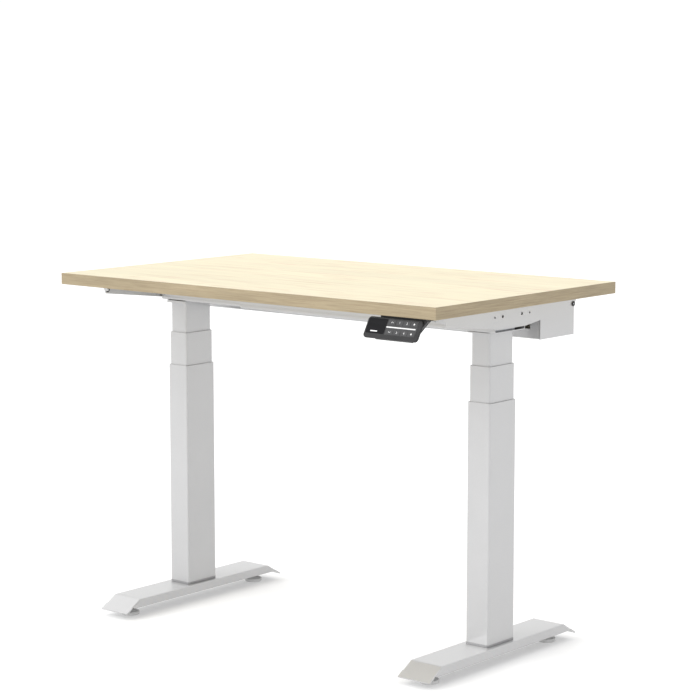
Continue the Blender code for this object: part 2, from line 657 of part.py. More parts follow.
def make_tray(shop):
    """A folded cable tray with a low front wall, which rises to a stub at each end."""
    name = "cable_tray"
    tray = shop.piece(name, box_mesh(name, (-TRAY_END_X, TRAY_FRONT, TRAY_BOTTOM),
                                     (TRAY_END_X, TRAY_REAR, TRAY_TOP)), "silver_paint")
    above = TRAY_TOP + PAST_SIDE
    inside_x = TRAY_END_X - TRAY_SHEET
    tool = box_mesh("tray_inside", (-inside_x, TRAY_FRONT + TRAY_SHEET, TRAY_BOTTOM + TRAY_SHEET),
                    (inside_x, TRAY_REAR - TRAY_SHEET, above))
    cut(tray, shop.cutter("tray_inside", tool))
    window_x = TRAY_END_X - TRAY_STUB
    tool = box_mesh("tray_window", (-window_x, TRAY_FRONT - PAST_SIDE, TRAY_BOTTOM + TRAY_LOW_WALL),
                    (window_x, TRAY_FRONT + 2 * TRAY_SHEET, above))
    cut(tray, shop.cutter("tray_window", tool))


def make_control_box(shop):
    """A mounting plate under the board, a cover shell below it and the mains inlet at its end."""
    plate_bottom = UNDERSIDE - GAP - CONTROL_PLATE
    name = "control_box_plate"
    shop.piece(name, box_mesh(name, (CONTROL_LEFT, CONTROL_FRONT, plate_bottom),
                              (CONTROL_RIGHT, CONTROL_REAR, UNDERSIDE - GAP)), "black_plastic")
    name = "control_box_cover"
    low = (CONTROL_LEFT, CONTROL_FRONT, CONTROL_BOTTOM)
    high = (CONTROL_RIGHT, CONTROL_REAR, plate_bottom - GAP)
    cover = shop.piece(name, box_mesh(name, low, high), "black_plastic")
    tool = box_mesh("control_inside", [value + CONTROL_WALL for value in low],
                    (CONTROL_RIGHT - CONTROL_WALL, CONTROL_REAR - CONTROL_WALL, UNDERSIDE))
    cut(cover, shop.cutter("control_inside", tool))
    half_w = 0.5 * INLET_WIDTH
    half_h = 0.5 * INLET_HEIGHT
    where = (CONTROL_LEFT - INLET_PROUD, INLET_Y, INLET_Z)
    tool = box_mesh("inlet_window", (-PAST_SIDE, -half_w - GAP, -half_h - GAP),
                    (2 * CONTROL_WALL, half_w + GAP, half_h + GAP))
    cut(cover, shop.cutter("inlet_window", tool, where))
    name = "mains_inlet"
    inlet = shop.piece(name, box_mesh(name, (0.0, -half_w, -half_h), (INLET_DEPTH, half_w, half_h)),
                       "black_plastic", where)
    tool = box_mesh("inlet_socket", (-PAST_FACE, INLET_WALL - half_w, INLET_WALL - half_h),
                    (INLET_DEPTH - INLET_WALL, half_w - INLET_WALL, half_h - INLET_WALL))
    cut(inlet, shop.cutter("inlet_socket", tool, where))


def face_point(along_normal, up_face):
    """World y and z, before the centre shift, of a point on the keypad's middle plane."""
    y = KEYPAD_Y + up_face * cos(KEYPAD_TILT) - along_normal * sin(KEYPAD_TILT)
    z = KEYPAD_Z + up_face * sin(KEYPAD_TILT) + along_normal * cos(KEYPAD_TILT)
    return (y, z)


def make_keypad(shop):
    """The shell under the front edge, the tilted panel, the display and eight keys."""
    name = "keypad_shell"
    back = -PANEL_THICKNESS - GAP
    top = UNDERSIDE - GAP
    upper = face_point(back, 0.5 * PANEL_HEIGHT)
    low_edge = SHELL_INSET - 0.5 * PANEL_HEIGHT
    ramp_y = SHELL_BACK_Y - SHELL_RAMP_LENGTH
    outline = [
        upper, face_point(back, low_edge), face_point(back - SHELL_LIP, low_edge),
        (ramp_y - 2 * SHELL_RAMP_DROP, SHELL_PLATE_BOTTOM - SHELL_RAMP_DROP),
        (ramp_y, SHELL_PLATE_BOTTOM), (SHELL_BACK_Y, SHELL_PLATE_BOTTOM), (SHELL_BACK_Y, top),
        (upper[0], top)]
    shell = shop.piece(name, plate_mesh(name, [outline], SHELL_LEFT, SHELL_RIGHT, ALONG_X), "black_plastic")
    face = shop.empty("keypad_face", (KEYPAD_X, KEYPAD_Y, KEYPAD_Z), shop.centre, KEYPAD_TILT)
    pocket_half = 0.5 * PANEL_HEIGHT - SHELL_INSET - SHELL_WALL
    tool = box_mesh("keypad_pocket",
                    (SHELL_LEFT + SHELL_WALL - KEYPAD_X, -pocket_half, back - SHELL_POCKET_DEPTH),
                    (SHELL_RIGHT - 2 * SHELL_WALL - KEYPAD_X, pocket_half - SHELL_WALL, 0.0))
    cut(shell, shop.cutter("keypad_pocket", tool, (0.0, 0.0, 0.0), face))
    name = "keypad_panel"
    outline = rounded_rectangle(PANEL_WIDTH, PANEL_HEIGHT, PANEL_RADIUS, 5)
    panel = shop.piece(name, plate_mesh(name, [outline], -PANEL_THICKNESS, 0.0), "black_plastic",
                       parent=face)
    half_w = 0.5 * DISPLAY_WIDTH
    half_h = 0.5 * DISPLAY_HEIGHT
    pocket = box_mesh("display_pocket", (-half_w - GAP, -half_h - GAP, -DISPLAY_THICKNESS - GAP),
                      (half_w + GAP, half_h + GAP, PAST_FACE))
    where = (DISPLAY_X, DISPLAY_UP, 0.0)
    cut(panel, shop.cutter("display_pocket", pocket, where, face))
    name = "keypad_display"
    shop.piece(name, box_mesh(name, (-half_w, -half_h, -DISPLAY_THICKNESS), (half_w, half_h, 0.0)),
               "display", where, face)
    outline = rounded_rectangle(KEY_WIDTH, KEY_HEIGHT, KEY_RADIUS, 2)
    hole = rounded_rectangle(KEY_WIDTH + 2 * GAP, KEY_HEIGHT + 2 * GAP, KEY_RADIUS + GAP, 2)
    for row, names in enumerate(KEY_NAMES):
        for column, label in enumerate(names):
            where = (KEY_FIRST + column * KEY_PITCH, KEY_MIDDLE + KEY_ROW * (1 - 2 * row), 0.0)
            tag = "key_%s" % label
            window = plate_mesh(tag + "_window", [hole], -2 * PANEL_THICKNESS, PANEL_THICKNESS)
            cut(panel, shop.cutter(tag + "_window", window, where, face))
            shop.piece(tag, plate_mesh(tag, [outline], -KEY_DEEP, KEY_PROUD), "key", where, face)


def smooth_route(points, spacing):
    """Points read at an even spacing from a smooth curve through a route's own points."""
    ends = [tuple(2 * a - b for a, b in zip(points[0], points[1]))]
    ends = ends + list(points) + [tuple(2 * a - b for a, b in zip(points[-1], points[-2]))]
    route = [points[0]]
    for index in range(1, len(ends) - 2):
        before, start, stop, after = ends[index - 1:index + 3]
        length = hypot(*(b - a for a, b in zip(start, stop)))
        count = max(1, round(length / spacing))
        for step in range(1, count + 1):
            t = step / count
            route.append(tuple(
                0.5 * (2 * b + (c - a) * t + (2 * a - 5 * b + 4 * c - d) * t ** 2
                       + (3 * b - a - 3 * c + d) * t ** 3)
                for a, b, c, d in zip(before, start, stop, after)))
    return route


def make_lead(shop, name, points, radius):
    curve = bpy.data.curves.new(name, "CURVE")
    curve.dimensions = "3D"
    curve.bevel_depth = radius
    curve.bevel_resolution = 2
    curve.use_fill_caps = True
    route = smooth_route(points, LEAD_SPACING)
    spline = curve.splines.new("POLY")
    spline.points.add(len(route) - 1)
    for point, place in zip(spline.points, route):
        point.co = (*place, 1.0)
    shop.piece(name, curve_to_mesh(name, curve), "cable")


def make_leads(shop):
    """Both motor leads and the keypad lead, each ending at the control box."""
    motor_end = COLUMN_X - GEARBOX_HALF_LENGTH - GAP - MOTOR_LENGTH - GAP
    slot_z = 0.5 * (LEAD_SLOT_BOTTOM + LEAD_SLOT_TOP)
    left = [
        (-motor_end, 0.0, MOTOR_Z), (-motor_end + 0.006, 0.0, MOTOR_Z),
        (-motor_end + 0.015, 0.006, MOTOR_Z + 0.006), (LEFT_SLOT_X, 0.027, slot_z),
        (LEFT_SLOT_X, BEAM_HALF_DEPTH, slot_z), (LEFT_SLOT_X + 0.004, 0.080, slot_z - 0.001),
        (-0.238, 0.112, 0.7045), (-0.213, 0.126, 0.700), (CONTROL_LEFT - GAP, 0.126, 0.700)]
    right = [
        (motor_end, 0.0, MOTOR_Z), (motor_end - 0.006, 0.0, MOTOR_Z),
        (motor_end - 0.018, 0.002, MOTOR_Z + 0.005), (0.235, 0.015, slot_z), (0.216, 0.033, slot_z),
        (0.212, BEAM_HALF_DEPTH, slot_z), (0.200, 0.085, slot_z - 0.002), (0.155, 0.132, 0.702),
        (0.085, 0.1465, 0.700), (0.044, 0.147, 0.700), (CONTROL_RIGHT + GAP, 0.147, 0.700)]
    keypad = [
        (0.412, SHELL_BACK_Y + GAP, 0.7172), (0.412, SHELL_BACK_Y + 0.010, 0.7172),
        (0.403, -0.206, 0.7172), (0.360, -0.160, 0.7172), (0.280, -0.105, 0.716),
        (0.220, -0.078, 0.712), (0.198, -BEAM_HALF_DEPTH, slot_z), (0.195, 0.0, slot_z),
        (0.195, BEAM_HALF_DEPTH, slot_z), (0.182, 0.085, slot_z - 0.001), (0.130, 0.117, 0.704),
        (0.070, 0.1285, 0.700), (0.044, 0.129, 0.700), (CONTROL_RIGHT + GAP, 0.129, 0.700)]
    make_lead(shop, "motor_lead_left", left, MOTOR_LEAD_RADIUS)
    make_lead(shop, "motor_lead_right", right, MOTOR_LEAD_RADIUS)
    make_lead(shop, "keypad_lead", keypad, KEYPAD_LEAD_RADIUS)


def make_desktop(shop):
    name = "desktop"
    low = (-0.5 * DESK_LENGTH, -0.5 * DESK_DEPTH, UNDERSIDE)
    high = (0.5 * DESK_LENGTH, 0.5 * DESK_DEPTH, DESK_TOP)
    round_edges(shop.piece(name, box_mesh(name, low, high), "oak_board"), DESK_EDGE)


def main():
    shop = Workshop()
    make_desktop(shop)
    make_beam(shop)
    make_tray(shop)
    make_control_box(shop)
    make_keypad(shop)
    make_leads(shop)
    for label, side in SIDES:
        make_foot(shop, label, side)
        make_glides(shop, label, side)
        make_column(shop, label, side)
        make_screws(shop, label, side)
        make_beam_ends(shop, label, side)
        make_motor(shop, label, side)
        make_bracket(shop, label, side)


main()
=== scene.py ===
"""The finished look of a height-adjustable desk: board, steel frame, lifting columns and keypad.

Metres, +Z up, +X along the board, the user sits at -Y. Pieces take their places from the
frame's own boxes. Sheet metal is folded from open surfaces and thickened, turned pieces are spun.
"""

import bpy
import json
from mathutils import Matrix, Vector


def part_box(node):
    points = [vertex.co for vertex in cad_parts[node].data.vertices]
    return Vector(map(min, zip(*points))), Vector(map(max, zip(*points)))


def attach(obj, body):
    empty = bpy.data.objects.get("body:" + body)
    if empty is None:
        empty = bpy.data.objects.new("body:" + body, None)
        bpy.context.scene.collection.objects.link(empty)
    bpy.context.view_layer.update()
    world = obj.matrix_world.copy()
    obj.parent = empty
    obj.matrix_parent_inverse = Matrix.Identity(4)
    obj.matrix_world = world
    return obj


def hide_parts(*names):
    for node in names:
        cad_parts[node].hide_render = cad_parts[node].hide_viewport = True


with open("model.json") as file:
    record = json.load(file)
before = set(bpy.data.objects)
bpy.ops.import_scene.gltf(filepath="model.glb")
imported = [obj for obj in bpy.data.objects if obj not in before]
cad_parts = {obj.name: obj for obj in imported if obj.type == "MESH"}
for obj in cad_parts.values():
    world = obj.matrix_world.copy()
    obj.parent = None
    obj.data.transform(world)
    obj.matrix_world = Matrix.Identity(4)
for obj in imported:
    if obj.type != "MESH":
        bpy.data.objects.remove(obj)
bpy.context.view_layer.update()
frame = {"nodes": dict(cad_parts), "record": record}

import json
from math import cos, hypot, pi, radians, sin

import bmesh
import bpy
from bpy.props import FloatProperty, FloatVectorProperty, PointerProperty
from mathutils import Matrix, Vector

bl_info = {
    "name": "Lifting Desk Maker",
    "version": (1, 0, 0),
    "blender": (4, 5, 0),
    "location": "3D View > Sidebar > Desk",
    "description": "Builds the finished pieces of a height-adjustable desk around its frame",
    "category": "Object",
}

SIDES = (("left", -1.0), ("right", 1.0))
ENDS = ("front", "rear")
KEY_LABELS = ("up", "one", "two", "lock", "down", "three", "four", "memory")

# How near a place counts as the same when parts of a mesh are picked, and when they are merged
TINY = 0.0001
JOIN = 0.00002

# The brackets' holes: distance from the desk's centre, depth below the bracket's top, radius
BOLT_HOLE = (0.032, 0.020, 0.0031)
SPARE_HOLE = (0.058, 0.020, 0.0023)
GROMMET_HOLE = (0.209, 0.016, 0.0030)

# The ends of each bracket that carry a grommet, -1 for the front and 1 for the rear
GROMMET_ENDS = {"left": (-1.0, 1.0), "right": (1.0,)}

# Thickness of the keypad housing's rear edge, which is screwed to the board
KEYPAD_PLATE = 0.0092

# The desk's own centre in y, which the keypad's overhang sets a little behind the origin
BOARD_LOW, BOARD_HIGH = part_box("desktop")
CENTRE_Y = 0.5 * (BOARD_LOW.y + BOARD_HIGH.y)


# ---------------------------------------------------------------- sizes and colours


class BoardSettings(bpy.types.PropertyGroup):
    band: FloatProperty(name="Edge band", description="Thickness of the band glued around the board",
                        default=0.0010, unit="LENGTH")
    round: FloatProperty(name="Edge rounding", description="Radius along the band's outer edges",
                         default=0.0009, unit="LENGTH")
    face: FloatVectorProperty(name="Face colour", description="Ground colour of the oak decor",
                              default=(0.765, 0.70, 0.495), subtype="COLOR")
    streak: FloatVectorProperty(name="Streak colour", description="Darker growth lines on the face",
                                default=(0.62, 0.50, 0.33), subtype="COLOR")
    flame: FloatVectorProperty(name="Flame colour", description="Short warm flecks on the face",
                               default=(0.66, 0.47, 0.33), subtype="COLOR")
    edge: FloatVectorProperty(name="Edge colour", description="Ground colour of the edge band",
                              default=(0.37, 0.30, 0.19), subtype="COLOR")
    edge_streak: FloatVectorProperty(name="Edge streak", description="Darker lines on the edge band",
                                     default=(0.24, 0.18, 0.105), subtype="COLOR")


class MetalSettings(bpy.types.PropertyGroup):
    paint: FloatVectorProperty(name="Paint", description="Colour of the silver powder coat",
                               default=(0.465, 0.465, 0.47), subtype="COLOR")
    # Painted shade: a darker copy of the silver paint that stands in for the shadow band at the columns'
    # feet
    seat: FloatVectorProperty(name="Seat painted shade", description="Colour of the bands at the columns' feet",
                              default=(0.27, 0.27, 0.275), subtype="COLOR")
    paint_roughness: FloatProperty(name="Paint roughness", description="Mean roughness of the coat",
                                   default=0.36, min=0.0, max=1.0)
    bend: FloatProperty(name="Bend radius", description="Outer radius of the sheet's folds",
                        default=0.0028, unit="LENGTH")
    rim: FloatProperty(name="Rim rounding", description="Rounding of cut sheet edges",
                       default=0.0003, unit="LENGTH")
    foot_sheet: FloatProperty(name="Foot sheet", description="Thickness of the feet's sheet",
                              default=0.0025, unit="LENGTH")
    sheet: FloatProperty(name="Frame sheet", description="Thickness of brackets and rails",
                         default=0.0020, unit="LENGTH")
    tray_sheet: FloatProperty(name="Tray sheet", description="Thickness of the cable tray",
                              default=0.0015, unit="LENGTH")
    tube_wall: FloatProperty(name="Tube wall", description="Wall of the column tubes",
                             default=0.0014, unit="LENGTH")
    tube_radius: FloatProperty(name="Tube corner", description="Outer corner radius of the outer tube",
                               default=0.0040, unit="LENGTH")
    plated: FloatVectorProperty(name="Plating", description="Colour of zinc-plated screws and motors",
                                default=(0.50, 0.51, 0.53), subtype="COLOR")


class KeypadSettings(bpy.types.PropertyGroup):
    tilt: FloatProperty(name="Tilt", description="Tilt of the keypad's face from flat",
                        default=radians(60.0), subtype="ANGLE")
    corner: FloatProperty(name="Corner radius", description="Corner radius of the panel",
                          default=0.007, unit="LENGTH")
    clearance: FloatProperty(name="Key clearance", description="Gap around each key",
                             default=0.0003, unit="LENGTH")
    bar: FloatVectorProperty(name="Divider bar", description="Width and height of the white bar",
                             default=(0.0686, 0.0022), size=2, unit="LENGTH")
    plastic: FloatVectorProperty(name="Housing", description="Colour of the moulded black plastic",
                                 default=(0.012, 0.012, 0.013), subtype="COLOR")
    film: FloatVectorProperty(name="Key film", description="Colour of the dark grey key zone",
                              default=(0.045, 0.045, 0.047), subtype="COLOR")
    printing: FloatVectorProperty(name="Printing", description="Colour of the marks and the bar",
                                  default=(0.86, 0.86, 0.86), subtype="COLOR")


class StageSettings(bpy.types.PropertyGroup):
    lens: FloatProperty(name="Lens", description="Focal length in millimetres", default=113.4)
    azimuth: FloatProperty(name="Azimuth", description="Camera's turn to the right of the desk",
                           default=radians(39.813), subtype="ANGLE")
    pitch: FloatProperty(name="Pitch", description="Camera's tilt down from level",
                         default=radians(7.721), subtype="ANGLE")
    distance: FloatProperty(name="Distance", description="Camera to the point it looks at",
                            default=4.6, unit="LENGTH")
    target: FloatVectorProperty(name="Target", description="Point that the camera looks at",
                                default=(0.0280, 0.0294, 0.5934), subtype="XYZ")
    floor: FloatVectorProperty(name="Floor colour", description="Colour of the plain floor",
                               default=(0.74, 0.74, 0.74), subtype="COLOR")
    lift: FloatProperty(name="Shadow lift", description="How far the floor's shadows are lightened",
                        default=0.28, min=0.0)
    sky: FloatProperty(name="Sky", description="Strength of the surrounding white light",
                       default=0.75, min=0.0)
    seen: FloatProperty(name="Seen sky", description="Strength of the surroundings as they are seen",
                        default=1.04, min=0.0)
    key: FloatProperty(name="Key light", description="Strength of the soft light from the front",
                       default=1.40, min=0.0)
    top: FloatProperty(name="Top light", description="Strength of the soft light from above",
                       default=1.10, min=0.0)


# ---------------------------------------------------------------- modelling by hand, in code


def select_only(*things):
    """Leaves edit mode, deselects all and selects these objects, the first one active."""
    if bpy.context.object and bpy.context.object.mode != "OBJECT":
        bpy.ops.object.mode_set(mode="OBJECT")
    bpy.ops.object.select_all(action="DESELECT")
    for thing in things:
        thing.select_set(True)
    bpy.context.view_layer.objects.active = things[0] if things else None


def settle(obj, name):
    """Names a new primitive, moves its place into its mesh and opens it in edit mode."""
    obj.name = name
    obj.data.name = name
    bpy.ops.object.transform_apply(location=True, rotation=True, scale=True)
    bpy.ops.object.mode_set(mode="EDIT")
    return obj


def add_box(name, low, high):
    select_only()
    middle = [0.5 * (a + b) for a, b in zip(low, high)]
    bpy.ops.mesh.primitive_cube_add(size=1.0, location=middle)
    box = bpy.context.object
    box.scale = [b - a for a, b in zip(low, high)]
    return settle(box, name)


def add_disc(name, middle, radius, thickness, steps=32, turn=(0.0, 0.0, 0.0)):
    select_only()
    bpy.ops.mesh.primitive_cylinder_add(vertices=steps, radius=radius, depth=thickness,
                                        location=middle, rotation=turn)
    return settle(bpy.context.object, name)


def push(x, y, z):
    """Extrudes what is selected and moves it."""
    bpy.ops.mesh.extrude_region_move(TRANSFORM_OT_translate={"value": (x, y, z)})


def add_chain(name, points):
    """Draws a chain of edges by pushing one corner from point to point."""
    select_only()
    bpy.ops.mesh.primitive_plane_add(size=0.001, location=points[0])
    chain = settle(bpy.context.object, name)
    bpy.ops.mesh.select_mode(type="VERT")
    bpy.ops.mesh.select_all(action="SELECT")
    bpy.ops.mesh.merge(type="CENTER")
    for start, stop in zip(points, points[1:]):
        push(*(b - a for a, b in zip(start, stop)))
    bpy.ops.mesh.select_all(action="SELECT")
    return chain


def add_outline(name, points):
    sheet = add_chain(name, points)
    bpy.ops.mesh.edge_face_add()
    return sheet


def middle_of(item):
    if isinstance(item, bmesh.types.BMVert):
        return item.co
    if isinstance(item, bmesh.types.BMEdge):
        return 0.5 * (item.verts[0].co + item.verts[1].co)
    return item.calc_center_median()


def direction_of(item):
    if isinstance(item, bmesh.types.BMEdge):
        return (item.verts[1].co - item.verts[0].co).normalized()
    return item.normal


def pick(kind, test):
    """Selects the vertices, edges or faces whose middle and direction pass the test."""
    bpy.ops.mesh.select_mode(type=kind)
    bpy.ops.mesh.select_all(action="DESELECT")
    data = bpy.context.object.data
    mesh = bmesh.from_edit_mesh(data)
    mesh.normal_update()
    items = {"VERT": mesh.verts, "EDGE": mesh.edges, "FACE": mesh.faces}[kind]
    for item in items:
        if test(middle_of(item), direction_of(item)):
            item.select_set(True)
    mesh.select_flush_mode()
    bmesh.update_edit_mesh(data)


def remove(kind, test):
    pick(kind, test)
    bpy.ops.mesh.delete(type=kind)
    bpy.ops.mesh.select_mode(type="VERT")


def shift_points(test, offset):
    pick("VERT", lambda place, facing: test(place))
    bpy.ops.transform.translate(value=offset)


def round_picked(width, segments=4):
    bpy.ops.mesh.bevel(offset=width, segments=segments, affect="EDGES", clamp_overlap=True)


def slice_at(point, normal):
    """Adds an edge loop where a plane crosses the whole piece."""
    bpy.ops.mesh.select_all(action="SELECT")
    bpy.ops.mesh.bisect(plane_co=point, plane_no=normal)


def face_outward(test, direction):
    """Turns the whole surface so that the first face that passes the test faces that way."""
    bpy.ops.mesh.select_mode(type="FACE")
    bpy.ops.mesh.select_all(action="SELECT")
    bpy.ops.mesh.normals_make_consistent(inside=False)
    mesh = bmesh.from_edit_mesh(bpy.context.object.data)
    mesh.normal_update()
    for face in mesh.faces:
        if test(face.calc_center_median()) and abs(face.normal.dot(Vector(direction))) > 0.7:
            if face.normal.dot(Vector(direction)) < 0.0:
                bpy.ops.mesh.flip_normals()
            return


def merge_doubles():
    bpy.ops.mesh.select_mode(type="VERT")
    bpy.ops.mesh.select_all(action="SELECT")
    bpy.ops.mesh.remove_doubles(threshold=JOIN)


def apply_modifier(piece, kind, **values):
    select_only(piece)
    modifier = piece.modifiers.new(kind.lower(), kind)
    for key, value in values.items():
        setattr(modifier, key, value)
    bpy.ops.object.modifier_apply(modifier=modifier.name)


def thicken(piece, thickness):
    """Gives a folded sheet its thickness, inward from its outer face."""
    apply_modifier(piece, "SOLIDIFY", thickness=thickness, offset=-1.0, use_even_offset=True)


def soften(piece, width, segments=2, angle=50.0):
    apply_modifier(piece, "BEVEL", width=width, segments=segments, limit_method="ANGLE",
                   angle_limit=radians(angle), use_clamp_overlap=True)


def apply_place(piece, place):
    """Gives a piece a place and turn, and moves them into its mesh."""
    select_only(piece)
    piece.matrix_world = place
    bpy.ops.object.transform_apply(location=True, rotation=True, scale=True)
    return piece


def cut_away(piece, *cutters):
    """Cuts the cutters' shapes out of a piece and removes them."""
    for cutter in cutters:
        apply_modifier(piece, "BOOLEAN", operation="DIFFERENCE", solver="EXACT", object=cutter)
        bpy.data.objects.remove(cutter, do_unlink=True)


def spin_outline(name, outline, middle, steps=48):
    """Turns an outline of radius and height pairs once around a vertical axis."""
    points = [(middle[0] + radius, middle[1], middle[2] + height) for radius, height in outline]
    piece = add_chain(name, points)
    bpy.ops.mesh.spin(steps=steps, angle=2.0 * pi, center=middle, axis=(0.0, 0.0, 1.0))
    merge_doubles()
    bpy.ops.mesh.normals_make_consistent(inside=False)
    return piece


def finish_piece(piece, look, body, replaces=(), smooth=32.0):
    """Shades, paints and hangs a piece on its body, with its place kept in its mesh."""
    select_only(piece)
    bpy.ops.object.transform_apply(location=True, rotation=True, scale=True)
    bpy.ops.object.shade_smooth_by_angle(angle=radians(smooth))
    apply_modifier(piece, "WEIGHTED_NORMAL", keep_sharp=True, weight=80)
    piece.data.materials.clear()
    piece.data.materials.append(look)
    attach(piece, body)
    if replaces:
        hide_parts(*replaces)
    return piece


def copy_piece(piece, name, offset):
    """A copy with its own mesh, moved in edit mode."""
    select_only(piece)
    bpy.ops.object.duplicate(linked=False)
    copy = bpy.context.object
    copy.name = name
    copy.data.name = name
    bpy.ops.object.mode_set(mode="EDIT")
    bpy.ops.mesh.select_all(action="SELECT")
    bpy.ops.transform.translate(value=offset)
    bpy.ops.object.mode_set(mode="OBJECT")
    return copy


def join_pieces(name, pieces):
    select_only(*pieces)
    if len(pieces) > 1:
        bpy.ops.object.join()
    whole = bpy.context.object
    whole.name = name
    whole.data.name = name
    return whole


# ---------------------------------------------------------------- materials


class Look:
    """A node material on object coordinates, built a node at a time."""

    def __init__(self, name):
        self.material = bpy.data.materials.new(name)
        self.material.use_nodes = True
        self.nodes = self.material.node_tree.nodes
        self.links = self.material.node_tree.links
        self.shader = self.nodes["Principled BSDF"]
        self.place = self.nodes.new("ShaderNodeTexCoord").outputs["Object"]

    def stretched(self, scale, turn=(0.0, 0.0, 0.0)):
        mapping = self.nodes.new("ShaderNodeMapping")
        mapping.inputs["Scale"].default_value = scale
        mapping.inputs["Rotation"].default_value = turn
        self.links.new(self.place, mapping.inputs["Vector"])
        return mapping.outputs["Vector"]

    def noise(self, where, scale, detail=3.0, roughness=0.5, distortion=0.0):
        noise = self.nodes.new("ShaderNodeTexNoise")
        noise.inputs["Scale"].default_value = scale
        noise.inputs["Detail"].default_value = detail
        noise.inputs["Roughness"].default_value = roughness
        noise.inputs["Distortion"].default_value = distortion
        self.links.new(where, noise.inputs["Vector"])
        return noise.outputs["Fac"]

    def cells(self, where, scale):
        cells = self.nodes.new("ShaderNodeTexVoronoi")
        cells.inputs["Scale"].default_value = scale
        self.links.new(where, cells.inputs["Vector"])
        return cells.outputs["Distance"]

    def ramp(self, factor, *stops):
        ramp = self.nodes.new("ShaderNodeValToRGB")
        marks = ramp.color_ramp.elements
        while len(marks) < len(stops):
            marks.new(0.5)
        for mark, (position, colour) in zip(marks, stops):
            mark.position = position
            mark.color = (*colour, 1.0)
        self.links.new(factor, ramp.inputs["Fac"])
        return ramp.outputs["Color"]

    def band(self, value, low, high, out_low=0.0, out_high=1.0):
        remap = self.nodes.new("ShaderNodeMapRange")
        for socket, number in zip(("From Min", "From Max", "To Min", "To Max"),
                                  (low, high, out_low, out_high)):
            remap.inputs[socket].default_value = number
        self.links.new(value, remap.inputs["Value"])
        return remap.outputs["Result"]

    def blend(self, factor, first, second, mode="MIX"):
        mix = self.nodes.new("ShaderNodeMix")
        mix.data_type = "RGBA"
        mix.blend_type = mode
        factor_in, first_in, second_in = mix.inputs[0], mix.inputs[6], mix.inputs[7]
        self.feed(factor_in, factor)
        self.feed(first_in, first)
        self.feed(second_in, second)
        return mix.outputs[2]

    def feed(self, socket, value):
        """Links a socket to another, or sets a number or a colour on it."""
        if isinstance(value, bpy.types.NodeSocket):
            self.links.new(value, socket)
        elif isinstance(value, (int, float)):
            socket.default_value = value
        else:
            socket.default_value = (*value, 1.0)

    def bump(self, height, strength, depth=0.001, under=None):
        bump = self.nodes.new("ShaderNodeBump")
        bump.inputs["Strength"].default_value = strength
        bump.inputs["Distance"].default_value = depth
        self.links.new(height, bump.inputs["Height"])
        if under:
            self.links.new(under, bump.inputs["Normal"])
        return bump.outputs["Normal"]

    def finish(self, colour=None, roughness=None, normal=None, **values):
        """Feeds the shader; what is the same all over is set on the shader's own socket."""
        for socket, value in (("Base Color", colour), ("Roughness", roughness), ("Normal", normal)):
            if value is not None:
                self.feed(self.shader.inputs[socket], value)
        for socket, value in values.items():
            self.shader.inputs[socket.replace("_", " ")].default_value = value
        return self.material


def darker(colour, share):
    return tuple(share * channel for channel in colour)


def oak_face_look(board):
    """Pale oak decor: broad tone changes, fine straight grain, short pores and warm streaks."""
    look = Look("oak_face")
    tone = look.noise(look.stretched((0.9, 7.0, 7.0)), 1.6, 4.0, 0.55, 0.4)
    grain = look.noise(look.stretched((2.2, 95.0, 95.0)), 2.0, 6.0, 0.62, 0.25)
    streaks = look.noise(look.stretched((3.4, 46.0, 46.0)), 2.0, 3.0, 0.5, 0.3)
    pores = look.noise(look.stretched((22.0, 620.0, 620.0)), 2.0, 2.0, 0.5)
    ground = look.ramp(tone, (0.30, darker(board.face, 0.93)), (0.72, darker(board.face, 1.06)))
    lined = look.blend(look.band(grain, 0.42, 0.72, 0.0, 0.5), ground, board.streak)
    streaked = look.blend(look.band(streaks, 0.56, 0.72, 0.0, 0.8), lined, board.streak)
    flames = look.noise(look.stretched((5.0, 60.0, 60.0)), 1.3, 2.0, 0.5, 0.5)
    warmed = look.blend(look.band(flames, 0.60, 0.70, 0.0, 0.75), streaked, board.flame)
    pored = look.blend(look.band(pores, 0.62, 0.80, 0.0, 0.30), warmed, darker(board.streak, 0.7))
    relief = look.bump(pores, 0.10, 0.0004, look.bump(grain, 0.08, 0.0006))
    return look.finish(pored, look.band(grain, 0.3, 0.75, 0.50, 0.38), relief, IOR=1.48)


def oak_edge_look(board):
    """The edge band's decor, with lines that run along the edge on all four sides."""
    look = Look("oak_edge")
    tone = look.noise(look.stretched((6.0, 6.0, 60.0)), 1.5, 3.0, 0.5, 0.3)
    lines = look.noise(look.stretched((9.0, 9.0, 420.0)), 1.6, 5.0, 0.65, 0.2)
    pores = look.noise(look.stretched((60.0, 60.0, 1500.0)), 1.5, 2.0, 0.5)
    ground = look.ramp(tone, (0.32, darker(board.edge, 0.88)), (0.70, darker(board.edge, 1.08)))
    lined = look.blend(look.band(lines, 0.45, 0.68, 0.0, 0.75), ground, board.edge_streak)
    pored = look.blend(look.band(pores, 0.60, 0.78, 0.0, 0.45), lined, darker(board.edge_streak, 0.7))
    relief = look.bump(lines, 0.12, 0.0004)
    return look.finish(pored, look.band(lines, 0.3, 0.7, 0.55, 0.42), relief, IOR=1.48)


def powder_coat_look(name, paint, roughness):
    """Powder coat: orange-peel relief, fine flake, soft cloudiness, a clear top gloss."""
    look = Look(name)
    cloud = look.noise(look.stretched((5.0, 5.0, 5.0)), 1.6, 3.0, 0.5)
    flake = look.noise(look.stretched((1.0, 1.0, 1.0)), 1500.0, 2.0, 0.6)
    peel = look.noise(look.stretched((1.0, 1.0, 1.0)), 420.0, 2.0, 0.5)
    ground = look.ramp(cloud, (0.25, darker(paint, 0.965)), (0.75, darker(paint, 1.03)))
    flecked = look.blend(look.band(flake, 0.40, 0.70, 0.0, 0.16), ground, darker(paint, 1.35))
    rough = look.band(cloud, 0.2, 0.8, roughness - 0.05, roughness + 0.05)
    relief = look.bump(peel, 0.06, 0.0003)
    return look.finish(flecked, rough, relief, Metallic=0.35, Coat_Weight=1.0,
                       Coat_Roughness=0.05, Coat_IOR=1.6)


